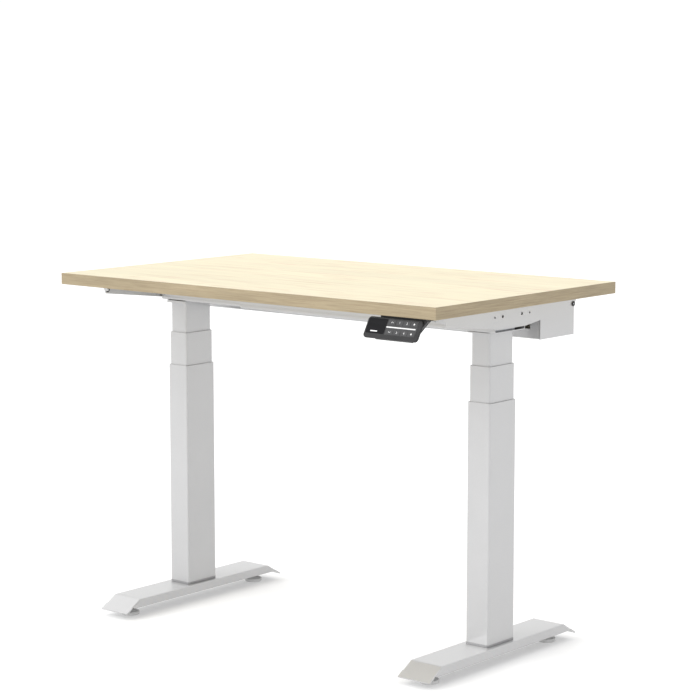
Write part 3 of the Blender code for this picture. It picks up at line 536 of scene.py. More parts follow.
def plated_look(metal):
    """Zinc plating with a faint spangle."""
    look = Look("zinc_plating")
    spangle = look.cells(look.stretched((1.0, 1.0, 1.0)), 260.0)
    grime = look.noise(look.stretched((1.0, 1.0, 1.0)), 40.0, 4.0, 0.6)
    ground = look.ramp(spangle, (0.1, darker(metal.plated, 0.88)), (0.8, darker(metal.plated, 1.12)))
    shaded = look.blend(look.band(grime, 0.5, 0.8, 0.0, 0.35), ground, darker(metal.plated, 0.6))
    return look.finish(shaded, look.band(grime, 0.3, 0.7, 0.26, 0.42),
                       look.bump(spangle, 0.08, 0.0003), Metallic=0.95)


def machined_look(metal):
    """Machined steel with turning marks around a vertical axis, pitched like a thread."""
    look = Look("machined_steel")
    marks = look.noise(look.stretched((20.0, 20.0, 900.0)), 1.0, 3.0, 0.6)
    film = look.noise(look.stretched((1.0, 1.0, 1.0)), 60.0, 4.0, 0.6)
    ground = look.ramp(marks, (0.3, darker(metal.plated, 0.85)), (0.7, darker(metal.plated, 1.15)))
    return look.finish(ground, look.band(film, 0.3, 0.7, 0.20, 0.36),
                       look.bump(marks, 0.15, 0.0004), Metallic=1.0)


def moulded_look(name, colour, roughness=0.46, grain=900.0):
    """Moulded plastic with a fine spark-eroded grain and slightly polished high spots."""
    look = Look(name)
    texture = look.noise(look.stretched((1.0, 1.0, 1.0)), grain, 3.0, 0.6)
    wear = look.noise(look.stretched((1.0, 1.0, 1.0)), 45.0, 4.0, 0.6)
    ground = look.ramp(wear, (0.3, darker(colour, 0.88)), (0.75, darker(colour, 1.18)))
    return look.finish(ground, look.band(wear, 0.3, 0.75, roughness + 0.06, roughness - 0.08),
                       look.bump(texture, 0.14, 0.0003), Specular_IOR_Level=0.3)


def window_look():
    """The glossy display window: near black, with faint wiping marks in its gloss."""
    look = Look("display_window")
    wipes = look.noise(look.stretched((12.0, 60.0, 60.0)), 3.0, 4.0, 0.6, 0.6)
    ground = look.ramp(wipes, (0.3, (0.004, 0.004, 0.005)), (0.8, (0.009, 0.009, 0.011)))
    return look.finish(ground, look.band(wipes, 0.3, 0.8, 0.06, 0.16), look.bump(wipes, 0.02, 0.0002),
                       Specular_IOR_Level=0.12)


def printed_look(keypad):
    """White screen printing, slightly uneven in its cover."""
    look = Look("white_print")
    cover = look.noise(look.stretched((1.0, 1.0, 1.0)), 1400.0, 3.0, 0.6)
    ground = look.ramp(cover, (0.3, darker(keypad.printing, 0.92)), (0.7, keypad.printing))
    return look.finish(ground, look.band(cover, 0.3, 0.7, 0.42, 0.55), look.bump(cover, 0.08, 0.0001))


def jacket_look():
    """Cable jacket: soft PVC with long extrusion lines."""
    look = Look("lead_jacket")
    ripple = look.noise(look.stretched((30.0, 30.0, 30.0)), 3.0, 4.0, 0.6)
    fine = look.noise(look.stretched((1.0, 1.0, 1.0)), 1200.0, 2.0, 0.5)
    ground = look.ramp(ripple, (0.3, (0.018, 0.018, 0.019)), (0.7, (0.032, 0.032, 0.034)))
    return look.finish(ground, look.band(ripple, 0.3, 0.7, 0.42, 0.56), look.bump(fine, 0.10, 0.0002))


def floor_look(stage):
    """A plain matt floor, clear from below so that the desk's underside can be looked at."""
    look = Look("plain_floor")
    tone = look.noise(look.stretched((1.0, 1.0, 1.0)), 0.8, 2.0, 0.5)
    ground = look.ramp(tone, (0.3, darker(stage.floor, 0.995)), (0.7, stage.floor))
    clear = look.nodes.new("ShaderNodeBsdfTransparent")
    choose = look.nodes.new("ShaderNodeMixShader")
    look.links.new(look.nodes.new("ShaderNodeNewGeometry").outputs["Backfacing"], choose.inputs["Fac"])
    look.links.new(look.shader.outputs["BSDF"], choose.inputs[1])
    look.links.new(clear.outputs["BSDF"], choose.inputs[2])
    look.links.new(choose.outputs["Shader"], look.nodes["Material Output"].inputs["Surface"])
    return look.finish(ground, look.band(tone, 0.3, 0.7, 0.75, 0.85), Specular_IOR_Level=0.2,
                       Emission_Color=(1.0, 1.0, 1.0, 1.0), Emission_Strength=stage.lift)


def looks():
    """Every finish by name, made once."""
    if not MADE_LOOKS:
        scene = bpy.context.scene
        metal, keypad = scene.desk_metal, scene.desk_keypad
        MADE_LOOKS.update({
            "face": oak_face_look(scene.desk_board),
            "edge": oak_edge_look(scene.desk_board),
            "paint": powder_coat_look("silver_powder_coat", metal.paint, metal.paint_roughness),
            # painted shade: the silver powder coat darkened for the bands at the columns' feet
            "shade": powder_coat_look("seat_painted_shade_coat", metal.seat, metal.paint_roughness),
            "plated": plated_look(metal),
            "machined": machined_look(metal),
            "black": moulded_look("black_moulding", keypad.plastic),
            "film": moulded_look("key_film", keypad.film, 0.40, 1600.0),
            "window": window_look(),
            "print": printed_look(keypad),
            "jacket": jacket_look(),
            "pad": moulded_look("glide_pad", (0.66, 0.66, 0.655), 0.38, 700.0),
            "nut": moulded_look("nut_polymer", (0.70, 0.67, 0.60), 0.40, 500.0),
            "slide": moulded_look("slide_polymer", (0.02, 0.02, 0.021), 0.36, 800.0),
            "rubber": moulded_look("grommet_rubber", (0.035, 0.035, 0.036), 0.62, 1100.0),
        })
    return MADE_LOOKS


MADE_LOOKS = {}


# ---------------------------------------------------------------- the pieces


def make_board(board):
    """The board's core, and the band that is glued around its four edges."""
    low, high = BOARD_LOW, BOARD_HIGH
    inset = Vector((board.band, board.band, 0.0))
    core = add_box("board_core", low + inset, high - inset)
    pick("EDGE", lambda place, facing: abs(facing.z) > 0.9)
    round_picked(0.0004, 2)
    finish_piece(core, looks()["face"], "desk_frame", ("desktop",))
    band = add_box("edge_band", low, high)
    remove("FACE", lambda place, facing: abs(facing.z) > 0.9)
    thicken(band, board.band - JOIN)
    select_only(band)
    bpy.ops.object.mode_set(mode="EDIT")
    outer_y = high.y - CENTRE_Y - TINY
    pick("EDGE", lambda place, facing: abs(facing.z) < 0.5 and (
        abs(place.x) > high.x - TINY or abs(place.y - CENTRE_Y) > outer_y))
    round_picked(board.round, 3)
    finish_piece(band, looks()["edge"], "desk_frame")


def make_foot(metal, label):
    """A foot: a channel with folded sides, its ends drawn out into sloping tongues."""
    low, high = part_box("foot_" + label)
    flat = high.y - CENTRE_Y - 0.0415
    wall = flat + 0.0165
    root = flat + 0.0240
    slope = (high.z - low.z - metal.foot_sheet * 0.86) / (high.y - CENTRE_Y - flat)
    wall_bottom = low.z + 0.0092
    foot = add_box("foot_plate_" + label, (low.x, CENTRE_Y - flat, wall_bottom),
                   (high.x, CENTRE_Y + flat, high.z))
    remove("FACE", lambda place, facing: facing.z < -0.9 or abs(facing.y) > 0.9)
    for end in (-1.0, 1.0):
        tip = CENTRE_Y + end * flat
        pick("EDGE", lambda place, facing: abs(place.y - tip) < TINY and abs(facing.z) > 0.9)
        bpy.ops.mesh.subdivide(number_cuts=1)
        half = 0.5 * (high.z + wall_bottom)
        shift_points(lambda place: abs(place.y - tip) < TINY and abs(place.z - half) < TINY,
                     (0.0, end * (root - flat), high.z - slope * (root - flat) - half))
        shift_points(lambda place: abs(place.y - tip) < TINY and place.z < wall_bottom + TINY,
                     (0.0, end * (wall - flat), 0.0))
        pick("EDGE", lambda place, facing: abs(place.y - tip) < TINY and abs(facing.x) > 0.9)
        push(0.0, end * (root - flat), -slope * (root - flat))
        reach = high.y - CENTRE_Y - root
        push(0.0, end * reach, -slope * reach)
    merge_doubles()
    face_outward(lambda place: place.z > high.z - TINY, (0.0, 0.0, 1.0))
    middle_x, half_width = 0.5 * (low.x + high.x), 0.5 * (high.x - low.x)
    fold_bottom = max(high.z - slope * (root - flat) - TINY, wall_bottom + 0.004)
    pick("EDGE", lambda place, facing: (
        abs(facing.x) < 0.5 and abs(facing.z) < 0.75 and place.z > fold_bottom
        and abs(abs(place.x - middle_x) - half_width) < TINY
        and abs(place.y - CENTRE_Y) <= root + TINY))
    round_picked(metal.bend, 4)
    pick("EDGE", lambda place, facing: abs(facing.x) > 0.9 and abs(abs(place.y - CENTRE_Y) - flat) < TINY
         and place.z > high.z - TINY)
    round_picked(metal.bend, 3)
    thicken(foot, metal.foot_sheet)
    soften(foot, metal.rim, 2, 60.0)
    finish_piece(foot, looks()["paint"], "base_" + label, ("foot_" + label,))


def make_tube(metal, label, stage, body):
    """One column stage: a rounded rectangular tube with softened rims."""
    name = "%s_tube_%s" % (stage, label)
    low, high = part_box(name)
    tube = add_box("column_%s_%s" % (stage, label), low, high)
    remove("FACE", lambda place, facing: abs(facing.z) > 0.9)
    pick("EDGE", lambda place, facing: abs(facing.z) > 0.9)
    round_picked(metal.tube_radius, 6)
    face_outward(lambda place: place.x > high.x - TINY, (1.0, 0.0, 0.0))
    thicken(tube, metal.tube_wall)
    soften(tube, metal.rim, 2, 60.0)
    finish_piece(tube, looks()["paint"], body, (name,))


def make_collar(metal, label):
    """The seat band around the foot of an outer tube, a little proud of it; its darker coat is painted
    shade for the dark band at the column's foot.
    """
    low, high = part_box("outer_tube_" + label)
    proud = Vector((0.0005, 0.0005, 0.0))
    top = Vector((high.x, high.y, low.z + 0.0046))
    collar = add_box("column_seat_" + label, low - proud, top + proud)
    remove("FACE", lambda place, facing: abs(facing.z) > 0.9)
    pick("EDGE", lambda place, facing: abs(facing.z) > 0.9)
    round_picked(metal.tube_radius + 0.0005, 6)
    face_outward(lambda place: place.x > high.x, (1.0, 0.0, 0.0))
    thicken(collar, 0.00045)
    soften(collar, 0.0002, 2, 60.0)
    # The darker coat is painted shade, not a colour of the steel
    finish_piece(collar, looks()["shade"], "base_" + label)


def make_bracket(metal, label, side):
    """A side bracket: tapered web, top flange, a folded lip at each end and the tray's end plate."""
    node = "side_bracket_" + label
    low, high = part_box(node)
    tray_low, tray_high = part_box("cable_tray")
    face = high.x if side > 0 else low.x
    flange = (high.x - low.x) - TINY
    top = high.z
    tip = high.y - CENTRE_Y
    end = tray_high.y - CENTRE_Y
    lip_depth, lip_width, relief = 0.018, 0.012, 0.0022
    lean = (tip - end) / 0.024
    at = lambda y, depth: (face, CENTRE_Y + y, top - depth)
    shoulder = 0.045 - 0.021 * (tray_low.y - CENTRE_Y - 0.045) / (end - 0.045)
    outline = [
        at(-tip, 0.0), at(lean * relief - tip, relief), at(lean * lip_depth - tip, lip_depth),
        at(-end, 0.024), at(-0.045, 0.045), at(0.045, 0.045),
        (face, tray_low.y, top - shoulder), (face, tray_low.y, low.z), (face, tray_high.y, low.z),
        at(end, 0.024), at(tip - lean * lip_depth, lip_depth), at(tip - lean * relief, relief),
        at(tip, 0.0)]
    bracket = add_outline("bracket_" + label, outline)
    pick("EDGE", lambda place, facing: place.z > top - TINY and abs(facing.y) > 0.9)
    push(-side * flange, 0.0, 0.0)
    for way in (-1.0, 1.0):
        lip_y = CENTRE_Y + way * (tip - lean * 0.5 * (lip_depth + relief))
        lip_z = top - 0.5 * (lip_depth + relief)
        pick("EDGE", lambda place, facing: (abs(place.y - lip_y) < TINY and abs(place.z - lip_z) < TINY))
        push(-side * lip_width, 0.0, 0.0)
    merge_doubles()
    face_outward(lambda place: abs(place.x - face) < TINY, (side, 0.0, 0.0))
    on_face = lambda place: abs(place.x - face) < TINY
    pick("EDGE", lambda place, facing: on_face(place) and (
        (place.z > top - TINY and abs(facing.y) > 0.9)
        or (abs(place.z - (top - 0.5 * (lip_depth + relief))) < TINY and abs(facing.z) > 0.5)))
    round_picked(metal.bend, 4)
    thicken(bracket, metal.sheet)
    cutters = []
    for hole in (BOLT_HOLE, SPARE_HOLE, GROMMET_HOLE):
        y, depth, radius = hole
        for way in GROMMET_ENDS[label] if hole is GROMMET_HOLE else (-1.0, 1.0):
            middle = (face, CENTRE_Y + way * y, top - depth)
            cutters.append(add_disc("drill", middle, radius, 0.012, 24, (0.0, 0.5 * pi, 0.0)))
    select_only(bracket)
    cut_away(bracket, join_pieces("drills", cutters))
    soften(bracket, metal.rim, 2, 60.0)
    finish_piece(bracket, looks()["paint"], "desk_frame", (node,))


def make_rail(metal, node, name, slot):
    """A crossbeam rail: a channel with rounded lower folds and a pressed bead along each wall."""
    low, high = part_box(node)
    rail = add_box(name, low, high)
    remove("FACE", lambda place, facing: facing.z > 0.9 or abs(facing.x) > 0.9)
    if node == "beam_outer_rail":
        shift_points(lambda place: place.x < low.x + TINY and place.z < low.z + TINY, (0.019, 0.0, 0.0))
    for height in (0.0075, 0.0100, 0.0125):
        slice_at((0.0, CENTRE_Y, low.z + height), (0.0, 0.0, 1.0))
    for way in (-1.0, 1.0):
        wall = high.y if way > 0 else low.y
        shift_points(lambda place: abs(place.z - low.z - 0.0100) < TINY and abs(place.y - wall) < TINY,
                     (0.0, -way * 0.0007, 0.0))
    pick("EDGE", lambda place, facing: place.z < low.z + TINY and abs(facing.x) > 0.9)
    round_picked(metal.bend + 0.0008, 5)
    face_outward(lambda place: place.z < low.z + TINY, (0.0, 0.0, -1.0))
    thicken(rail, metal.sheet - 0.0003)
    cutter = add_box("slot", *slot)
    pick("EDGE", lambda place, facing: abs(facing.y) > 0.9)
    round_picked(0.003, 3)
    select_only(rail)
    cut_away(rail, cutter)
    soften(rail, metal.rim, 1, 60.0)
    finish_piece(rail, looks()["paint"], "desk_frame", (node,))


def make_plain_plate(metal, node, name, body, radius):
    """A cut steel plate, its corners rounded and its edges broken."""
    low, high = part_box(node)
    plate = add_box(name, low, high)
    size = high - low
    thin = min(range(3), key=lambda axis: size[axis])
    pick("EDGE", lambda place, facing: abs(facing[thin]) > 0.9)
    round_picked(radius, 5)
    bpy.ops.object.mode_set(mode="OBJECT")
    soften(plate, metal.rim, 2, 40.0)
    finish_piece(plate, looks()["paint"], body, (node,))


def make_tray(metal):
    """The cable tray: a folded trough with a low front wall that rises to a stub at each end."""
    low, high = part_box("cable_tray")
    stub, wall = 0.022, 0.020
    tray = add_box("tray_trough", low, high)
    remove("FACE", lambda place, facing: facing.z > 0.9)
    slice_at((0.0, 0.0, low.z + wall), (0.0, 0.0, 1.0))
    slice_at((low.x + stub, 0.0, 0.0), (1.0, 0.0, 0.0))
    slice_at((high.x - stub, 0.0, 0.0), (1.0, 0.0, 0.0))
    remove("FACE", lambda place, facing: (abs(place.x) < high.x - stub and place.y < low.y + TINY
                                          and place.z > low.z + wall))
    merge_doubles()
    pick("EDGE", lambda place, facing: place.z < low.z + TINY and abs(facing.z) <= 0.5 and
         (place.y < low.y + TINY or place.y > high.y - TINY))
    round_picked(metal.bend, 4)
    face_outward(lambda place: place.z < low.z + TINY, (0.0, 0.0, -1.0))
    thicken(tray, metal.tray_sheet)
    soften(tray, metal.rim, 2, 60.0)
    finish_piece(tray, looks()["paint"], "desk_frame", ("cable_tray",))


def make_control_box(metal):
    """The control box: a rounded cover with vents and the inlet's opening, its plate, the inlet."""
    low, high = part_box("control_box_cover")
    cover = add_box("control_cover", low, high)
    pick("EDGE", lambda place, facing: abs(facing.z) > 0.9)
    round_picked(0.006, 5)
    pick("EDGE", lambda place, facing: place.z < low.z + TINY)
    round_picked(0.0025, 3)
    bpy.ops.object.mode_set(mode="OBJECT")
    inlet_low, inlet_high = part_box("mains_inlet")
    cutters = [add_box("inlet_hole", inlet_low - Vector((0.004, 0.0003, 0.0003)),
                       inlet_high + Vector((0.001, 0.0003, 0.0003)))]
    for number in range(9):
        x = low.x + 0.060 + 0.0085 * number
        cutters.append(add_box("vent", (x, low.y + 0.020, low.z - 0.002),
                               (x + 0.0035, high.y - 0.020, low.z + 0.0012)))
    cut_away(cover, join_pieces("cover_cutters", cutters))
    soften(cover, 0.0002, 1, 50.0)
    finish_piece(cover, looks()["black"], "desk_frame", ("control_box_cover",))
    low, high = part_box("control_box_plate")
    plate = add_box("control_plate", low, high)
    pick("EDGE", lambda place, facing: abs(facing.z) > 0.9)
    round_picked(0.006, 5)
    bpy.ops.object.mode_set(mode="OBJECT")
    soften(plate, 0.0004, 2, 40.0)
    finish_piece(plate, looks()["black"], "desk_frame", ("control_box_plate",))
    make_inlet(inlet_low, inlet_high)


def make_inlet(low, high):
    """The mains inlet: a recessed socket with three flat pins."""
    inlet = add_box("inlet_socket", low, high)
    pick("FACE", lambda place, facing: facing.x < -0.9)
    bpy.ops.mesh.inset(thickness=0.0024)
    push(high.x - low.x - 0.0025, 0.0, 0.0)
    bpy.ops.object.mode_set(mode="OBJECT")
    soften(inlet, 0.0004, 2, 40.0)
    finish_piece(inlet, looks()["black"], "desk_frame", ("mains_inlet",))
    middle_y, middle_z = 0.5 * (low.y + high.y), 0.5 * (low.z + high.z)
    pins = []
    for y, z in ((-0.0065, -0.002), (0.0, 0.002), (0.0065, -0.002)):
        pins.append(add_box("pin", (low.x + 0.0015, middle_y + y - 0.0010, middle_z + z - 0.002),
                            (high.x - 0.0022, middle_y + y + 0.0010, middle_z + z + 0.002)))
        pick("FACE", lambda place, facing: facing.x < -0.9)
        bpy.ops.mesh.inset(thickness=0.0004)
        push(-0.0004, 0.0, 0.0)
    finish_piece(join_pieces("inlet_pins", pins), looks()["plated"], "desk_frame")


# ---------------------------------------------------------------- keypad


def keypad_face():
    """The keypad's own axes: x to the right, y up its face, z out of it, from its middle."""
    tilt = bpy.context.scene.desk_keypad.tilt
    low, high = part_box("keypad_panel")
    thickness = 0.004
    normal = Vector((0.0, -sin(tilt), cos(tilt)))
    middle = 0.5 * (low + high) + 0.5 * thickness * normal
    return Matrix.Translation(middle) @ Matrix.Rotation(tilt, 4, "X")


def lay_on_face(piece):
    """Turns a piece made flat at the world's middle onto the keypad's face."""
    return apply_place(piece, keypad_face() @ piece.matrix_world)


def flat_tile(name, x, y, width, height, low, high, radius, steps=4):
    """A tile lying flat, with rounded corners seen from above."""
    tile = add_box(name, (x - 0.5 * width, y - 0.5 * height, low),
                   (x + 0.5 * width, y + 0.5 * height, high))
    pick("EDGE", lambda place, facing: abs(facing.z) > 0.9)
    round_picked(radius, steps)
    bpy.ops.object.mode_set(mode="OBJECT")
    return tile


def key_places():
    """Each key's middle on the face, from its frame node."""
    to_face = keypad_face().inverted()
    places = []
    for label in KEY_LABELS:
        low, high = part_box("key_" + label)
        middle = to_face @ (0.5 * (low + high))
        places.append((label, middle.x, middle.y))
    return places


def key_windows(places, width, height):
    """Cutters for the openings that the keys come through."""
    return [flat_tile("window", x, y, width, height, -0.006, 0.002, 0.0013) for _, x, y in places]


def make_keypad(keypad):
    """The keypad: shell, panel, key film, display window, eight keys, their marks, two bars."""
    low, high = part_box("keypad_shell")
    make_keypad_shell(low, high)
    panel_low, panel_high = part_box("keypad_panel")
    width = panel_high.x - panel_low.x
    height = 0.043
    key_width, key_height = 0.0156, 0.0106
    gap = keypad.clearance
    places = key_places()
    panel = flat_tile("panel", 0.0, 0.0, width, height, -0.004, -0.0002, keypad.corner, 8)
    soften(panel, 0.0006, 3, 50.0)
    windows = key_windows(places, key_width + 2 * gap, key_height + 2 * gap)
    display_low, display_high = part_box("keypad_display")
    display = keypad_face().inverted() @ (0.5 * (display_low + display_high))
    display_width, display_height = display_high.x - display_low.x, 0.030
    windows.append(flat_tile("window", display.x, display.y, display_width + 2 * gap,
                             display_height + 2 * gap, -0.0018, 0.002, 0.0023))
    cut_away(panel, join_pieces("panel_windows", windows))
    finish_piece(lay_on_face(panel), looks()["black"], "desk_frame", ("keypad_panel",))
    glass = flat_tile("display_glass", display.x, display.y, display_width, display_height,
                      -0.0015, -0.0001, 0.002)
    soften(glass, 0.0003, 2, 50.0)
    finish_piece(lay_on_face(glass), looks()["window"], "desk_frame",
                 ("keypad_display",))
    zone_left = places[0][1] - 0.5 * key_width - 0.0025
    zone_right = places[3][1] + 0.5 * key_width + 0.0012
    film = flat_tile("key_film_sheet", 0.5 * (zone_left + zone_right), 0.0027, zone_right - zone_left,
                     0.0325, -0.0003, -0.0001, 0.0015)
    windows = key_windows(places, key_width + 2 * gap, key_height + 2 * gap)
    cut_away(film, join_pieces("film_windows", windows))
    finish_piece(lay_on_face(film), looks()["film"], "desk_frame")
    for label, x, y in places:
        key = flat_tile("keycap_" + label, x, y, key_width, key_height, -0.0033, 0.0003, 0.001)
        soften(key, 0.0003, 2, 50.0)
        body = "key_body_" + label
        finish_piece(lay_on_face(key), looks()["film"], body, ("key_" + label,))
        mark = lay_on_face(make_mark(label, x, y))
        finish_piece(mark, looks()["print"], body)
    bar_width, bar_height = keypad.bar
    bar = flat_tile("divider_bar", 0.0185, places[0][2] - 0.0099, bar_width, bar_height, -0.0002,
                    0.0002, 0.0004, 3)
    finish_piece(lay_on_face(bar), looks()["print"], "desk_frame")
    badge = flat_tile("display_bar", -0.0424, -0.0077, 0.0165, 0.0022, -0.0002, 0.0001, 0.0005, 3)
    finish_piece(lay_on_face(badge), looks()["print"], "desk_frame")


def make_keypad_shell(low, high):
    """The shell that hangs the keypad under the board: a wedge with a thin mounting plate."""
    face = keypad_face()
    at = lambda up, out: face @ Vector((0.0, up, out))
    back = at(0.0215, -0.0043)
    lower = at(-0.0200, -0.0043)
    heel = at(-0.0200, -0.0123)
    plate = high.z - KEYPAD_PLATE
    ramp_y = high.y - 0.010
    outline = [(low.x, point[0], point[1]) for point in (
        (back.y, back.z), (lower.y, lower.z), (heel.y, heel.z), (ramp_y - 0.008, plate - 0.004),
        (ramp_y, plate), (high.y, plate), (high.y, high.z), (back.y, high.z))]
    shell = add_outline("keypad_housing", outline)
    push(high.x - low.x, 0.0, 0.0)
    merge_doubles()
    right = high.x - TINY
    shift_points(lambda place: place.x < low.x + TINY, (0.008, 0.0, 0.0))
    shift_points(lambda place: place.x > right and place.z < back.z - TINY, (-0.020, 0.0, 0.0))
    shift_points(lambda place: place.x > right and place.y > ramp_y - 0.010, (-0.0395, 0.0, 0.0))
    bpy.ops.mesh.normals_make_consistent(inside=False)
    bpy.ops.object.mode_set(mode="OBJECT")
    soften(shell, 0.0012, 3, 25.0)
    finish_piece(shell, looks()["black"], "desk_frame", ("keypad_shell",))


def make_mark(label, x, y):
    """The printed mark of one key: an arrow head, a number or a round dot."""
    top = 0.00045
    numbers = {"one": "1", "two": "2", "three": "3", "four": "4"}
    if label in numbers:
        select_only()
        bpy.ops.object.text_add(location=(x, y, top - 0.0001))
        mark = bpy.context.object
        mark.data.body = numbers[label]
        mark.data.size = 0.0058
        mark.data.align_x = "CENTER"
        mark.data.align_y = "CENTER"
        mark.data.extrude = 0.0001
        bpy.ops.object.convert(target="MESH")
        mark = bpy.context.object
        bpy.ops.object.transform_apply(location=True, rotation=True, scale=True)
        bpy.ops.object.mode_set(mode="EDIT")
        bpy.ops.mesh.select_all(action="SELECT")
        bpy.ops.mesh.remove_doubles(threshold=0.000002)
        bpy.ops.mesh.normals_make_consistent(inside=False)
    elif label in ("up", "down"):
        way = 1.0 if label == "up" else -1.0
        arms = []
        for hand in (-1.0, 1.0):
            arm = add_box("arm", (-0.0019, -0.00035, top - 0.0002), (0.0019, 0.00035, top))
            bpy.ops.mesh.select_all(action="SELECT")
            bpy.ops.transform.rotate(value=hand * way * radians(40.0), orient_axis="Z",
                                     center_override=(0.0, 0.0, 0.0))
            bpy.ops.transform.translate(value=(x + hand * 0.0012, y, 0.0))
            arms.append(arm)
        mark = join_pieces("arms", arms)
    else:
        mark = add_disc("dot", (x, y, top - 0.0001), 0.0017, 0.0002, 24)
        pick("FACE", lambda place, facing: facing.z > 0.9)
        bpy.ops.mesh.inset(thickness=0.0002)
    if bpy.context.object.mode == "EDIT":
        bpy.ops.object.mode_set(mode="OBJECT")
    mark.name = "key_mark_" + label
    mark.data.name = mark.name
    return mark


# ---------------------------------------------------------------- glides, leads and fasteners


def make_glide(label, end):
    """A levelling glide: round pad, cone, threaded stud and its round collar."""
    node = "glide_%s_%s" % (label, end)
    low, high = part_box(node)
    middle = (0.5 * (low.x + high.x), 0.5 * (low.y + high.y), 0.0)
    outline = [(0.0, 0.0), (0.0183, 0.0), (0.0190, 0.0003), (0.0195, 0.0012), (0.0195, 0.0062),
               (0.0192, 0.0070), (0.0185, 0.0075), (0.0155, 0.0090), (0.0125, 0.0104),
               (0.0110, 0.0115), (0.0072, 0.0119), (0.0062, 0.0128)]
    pad = spin_outline("glide_pad_%s_%s" % (label, end), outline + [(0.0, 0.0128)], middle)
    finish_piece(pad, looks()["pad"], "glide_body_%s_%s" % (label, end), (node,))
    stud_outline = [(0.0, 0.0128), (0.0046, 0.0128)]
    pitch = 0.00125
    height = 0.0150
    while height < 0.0285:
        stud_outline += [(0.0040, height), (0.0035, height + 0.5 * pitch)]
        height += pitch
    stud_outline += [(0.0040, 0.0296), (0.0060, 0.0302), (0.0060, high.z), (0.0, high.z)]
    stud = spin_outline("glide_stud_%s_%s" % (label, end), stud_outline, middle, 24)
    finish_piece(stud, looks()["plated"], "glide_body_%s_%s" % (label, end))


def smooth_route(points, spacing):
    """Points at an even spacing on a smooth curve through a route's own points."""
    ends = [tuple(2 * a - b for a, b in zip(points[0], points[1]))]
    ends = ends + list(points) + [tuple(2 * a - b for a, b in zip(points[-1], points[-2]))]
    route = [points[0]]
    for index in range(1, len(ends) - 2):
        before, start, stop, after = ends[index - 1:index + 3]
        length = hypot(*(b - a for a, b in zip(start, stop)))
        count = max(1, round(length / spacing))
        for step in range(1, count + 1):
            t = step / count
            route.append(tuple(
                0.5 * (2 * b + (c - a) * t + (2 * a - 5 * b + 4 * c - d) * t ** 2
                       + (3 * b - a - 3 * c + d) * t ** 3)
                for a, b, c, d in zip(before, start, stop, after)))
    return route


# Each lead's radius and the points of its route, with y measured from the desk's centre
LEAD_ROUTES = {
    "motor_lead_left": (0.0025, (
        (-0.2824, 0.0, 0.6965), (-0.2764, 0.0, 0.6965), (-0.2674, 0.006, 0.7025),
        (-0.255, 0.027, 0.708), (-0.255, 0.050, 0.708), (-0.251, 0.080, 0.707),
        (-0.238, 0.112, 0.7045), (-0.213, 0.126, 0.700), (-0.2003, 0.126, 0.700))),
    "motor_lead_right": (0.0025, (
        (0.2824, 0.0, 0.6965), (0.2764, 0.0, 0.6965), (0.2644, 0.002, 0.7015),
        (0.235, 0.015, 0.708), (0.216, 0.033, 0.708), (0.212, 0.050, 0.708),
        (0.200, 0.085, 0.706), (0.155, 0.132, 0.702), (0.085, 0.1465, 0.700),
        (0.044, 0.147, 0.700), (0.0303, 0.147, 0.700))),
    "keypad_lead": (0.0020, (
        (0.412, -0.2397, 0.7172), (0.412, -0.230, 0.7172), (0.403, -0.206, 0.7172),
        (0.360, -0.160, 0.7172), (0.280, -0.105, 0.716), (0.220, -0.078, 0.712),
        (0.198, -0.050, 0.708), (0.195, 0.0, 0.708), (0.195, 0.050, 0.708),
        (0.182, 0.085, 0.707), (0.130, 0.117, 0.704), (0.070, 0.1285, 0.700),
        (0.044, 0.129, 0.700), (0.0303, 0.129, 0.700))),
}


def make_lead(node, radius, points):
    """A lead as a round curve along its route, made a mesh with closed ends."""
    curve = bpy.data.curves.new(node + "_line", "CURVE")
    curve.dimensions = "3D"
    curve.bevel_depth = radius
    curve.bevel_resolution = 5
    curve.use_fill_caps = True
    route = [(x, y + CENTRE_Y, z) for x, y, z in smooth_route(points, 0.004)]
    spline = curve.splines.new("POLY")
    spline.points.add(len(route) - 1)
    for point, place in zip(spline.points, route):
        point.co = (*place, 1.0)
    lead = bpy.data.objects.new("jacket_" + node, curve)
    bpy.context.scene.collection.objects.link(lead)
    select_only(lead)
    bpy.ops.object.convert(target="MESH")
    lead = bpy.context.object
    bpy.ops.object.mode_set(mode="EDIT")
    merge_doubles()
    bpy.ops.mesh.normals_make_consistent(inside=False)
    finish_piece(lead, looks()["jacket"], "desk_frame", (node,), 50.0)


def make_plugs():
    """The plug where each lead enters the control box."""
    for node, (_, points) in LEAD_ROUTES.items():
        inner, outer = Vector(points[-1]), Vector(points[-2])
        way = 1.0 if outer.x > inner.x else -1.0
        ends = sorted((inner.x, inner.x + way * 0.011))
        y = inner.y + CENTRE_Y
        plug = add_box("plug_" + node, (ends[0], y - 0.0052, inner.z - 0.0038),
                       (ends[1], y + 0.0052, inner.z + 0.0038))
        pick("FACE", lambda place, facing: facing.x * way > 0.9)
        bpy.ops.mesh.inset(thickness=0.0012)
        push(way * 0.0035, 0.0, 0.0)
        bpy.ops.object.mode_set(mode="OBJECT")
        soften(plug, 0.0006, 3, 40.0)
        finish_piece(plug, looks()["black"], "desk_frame")


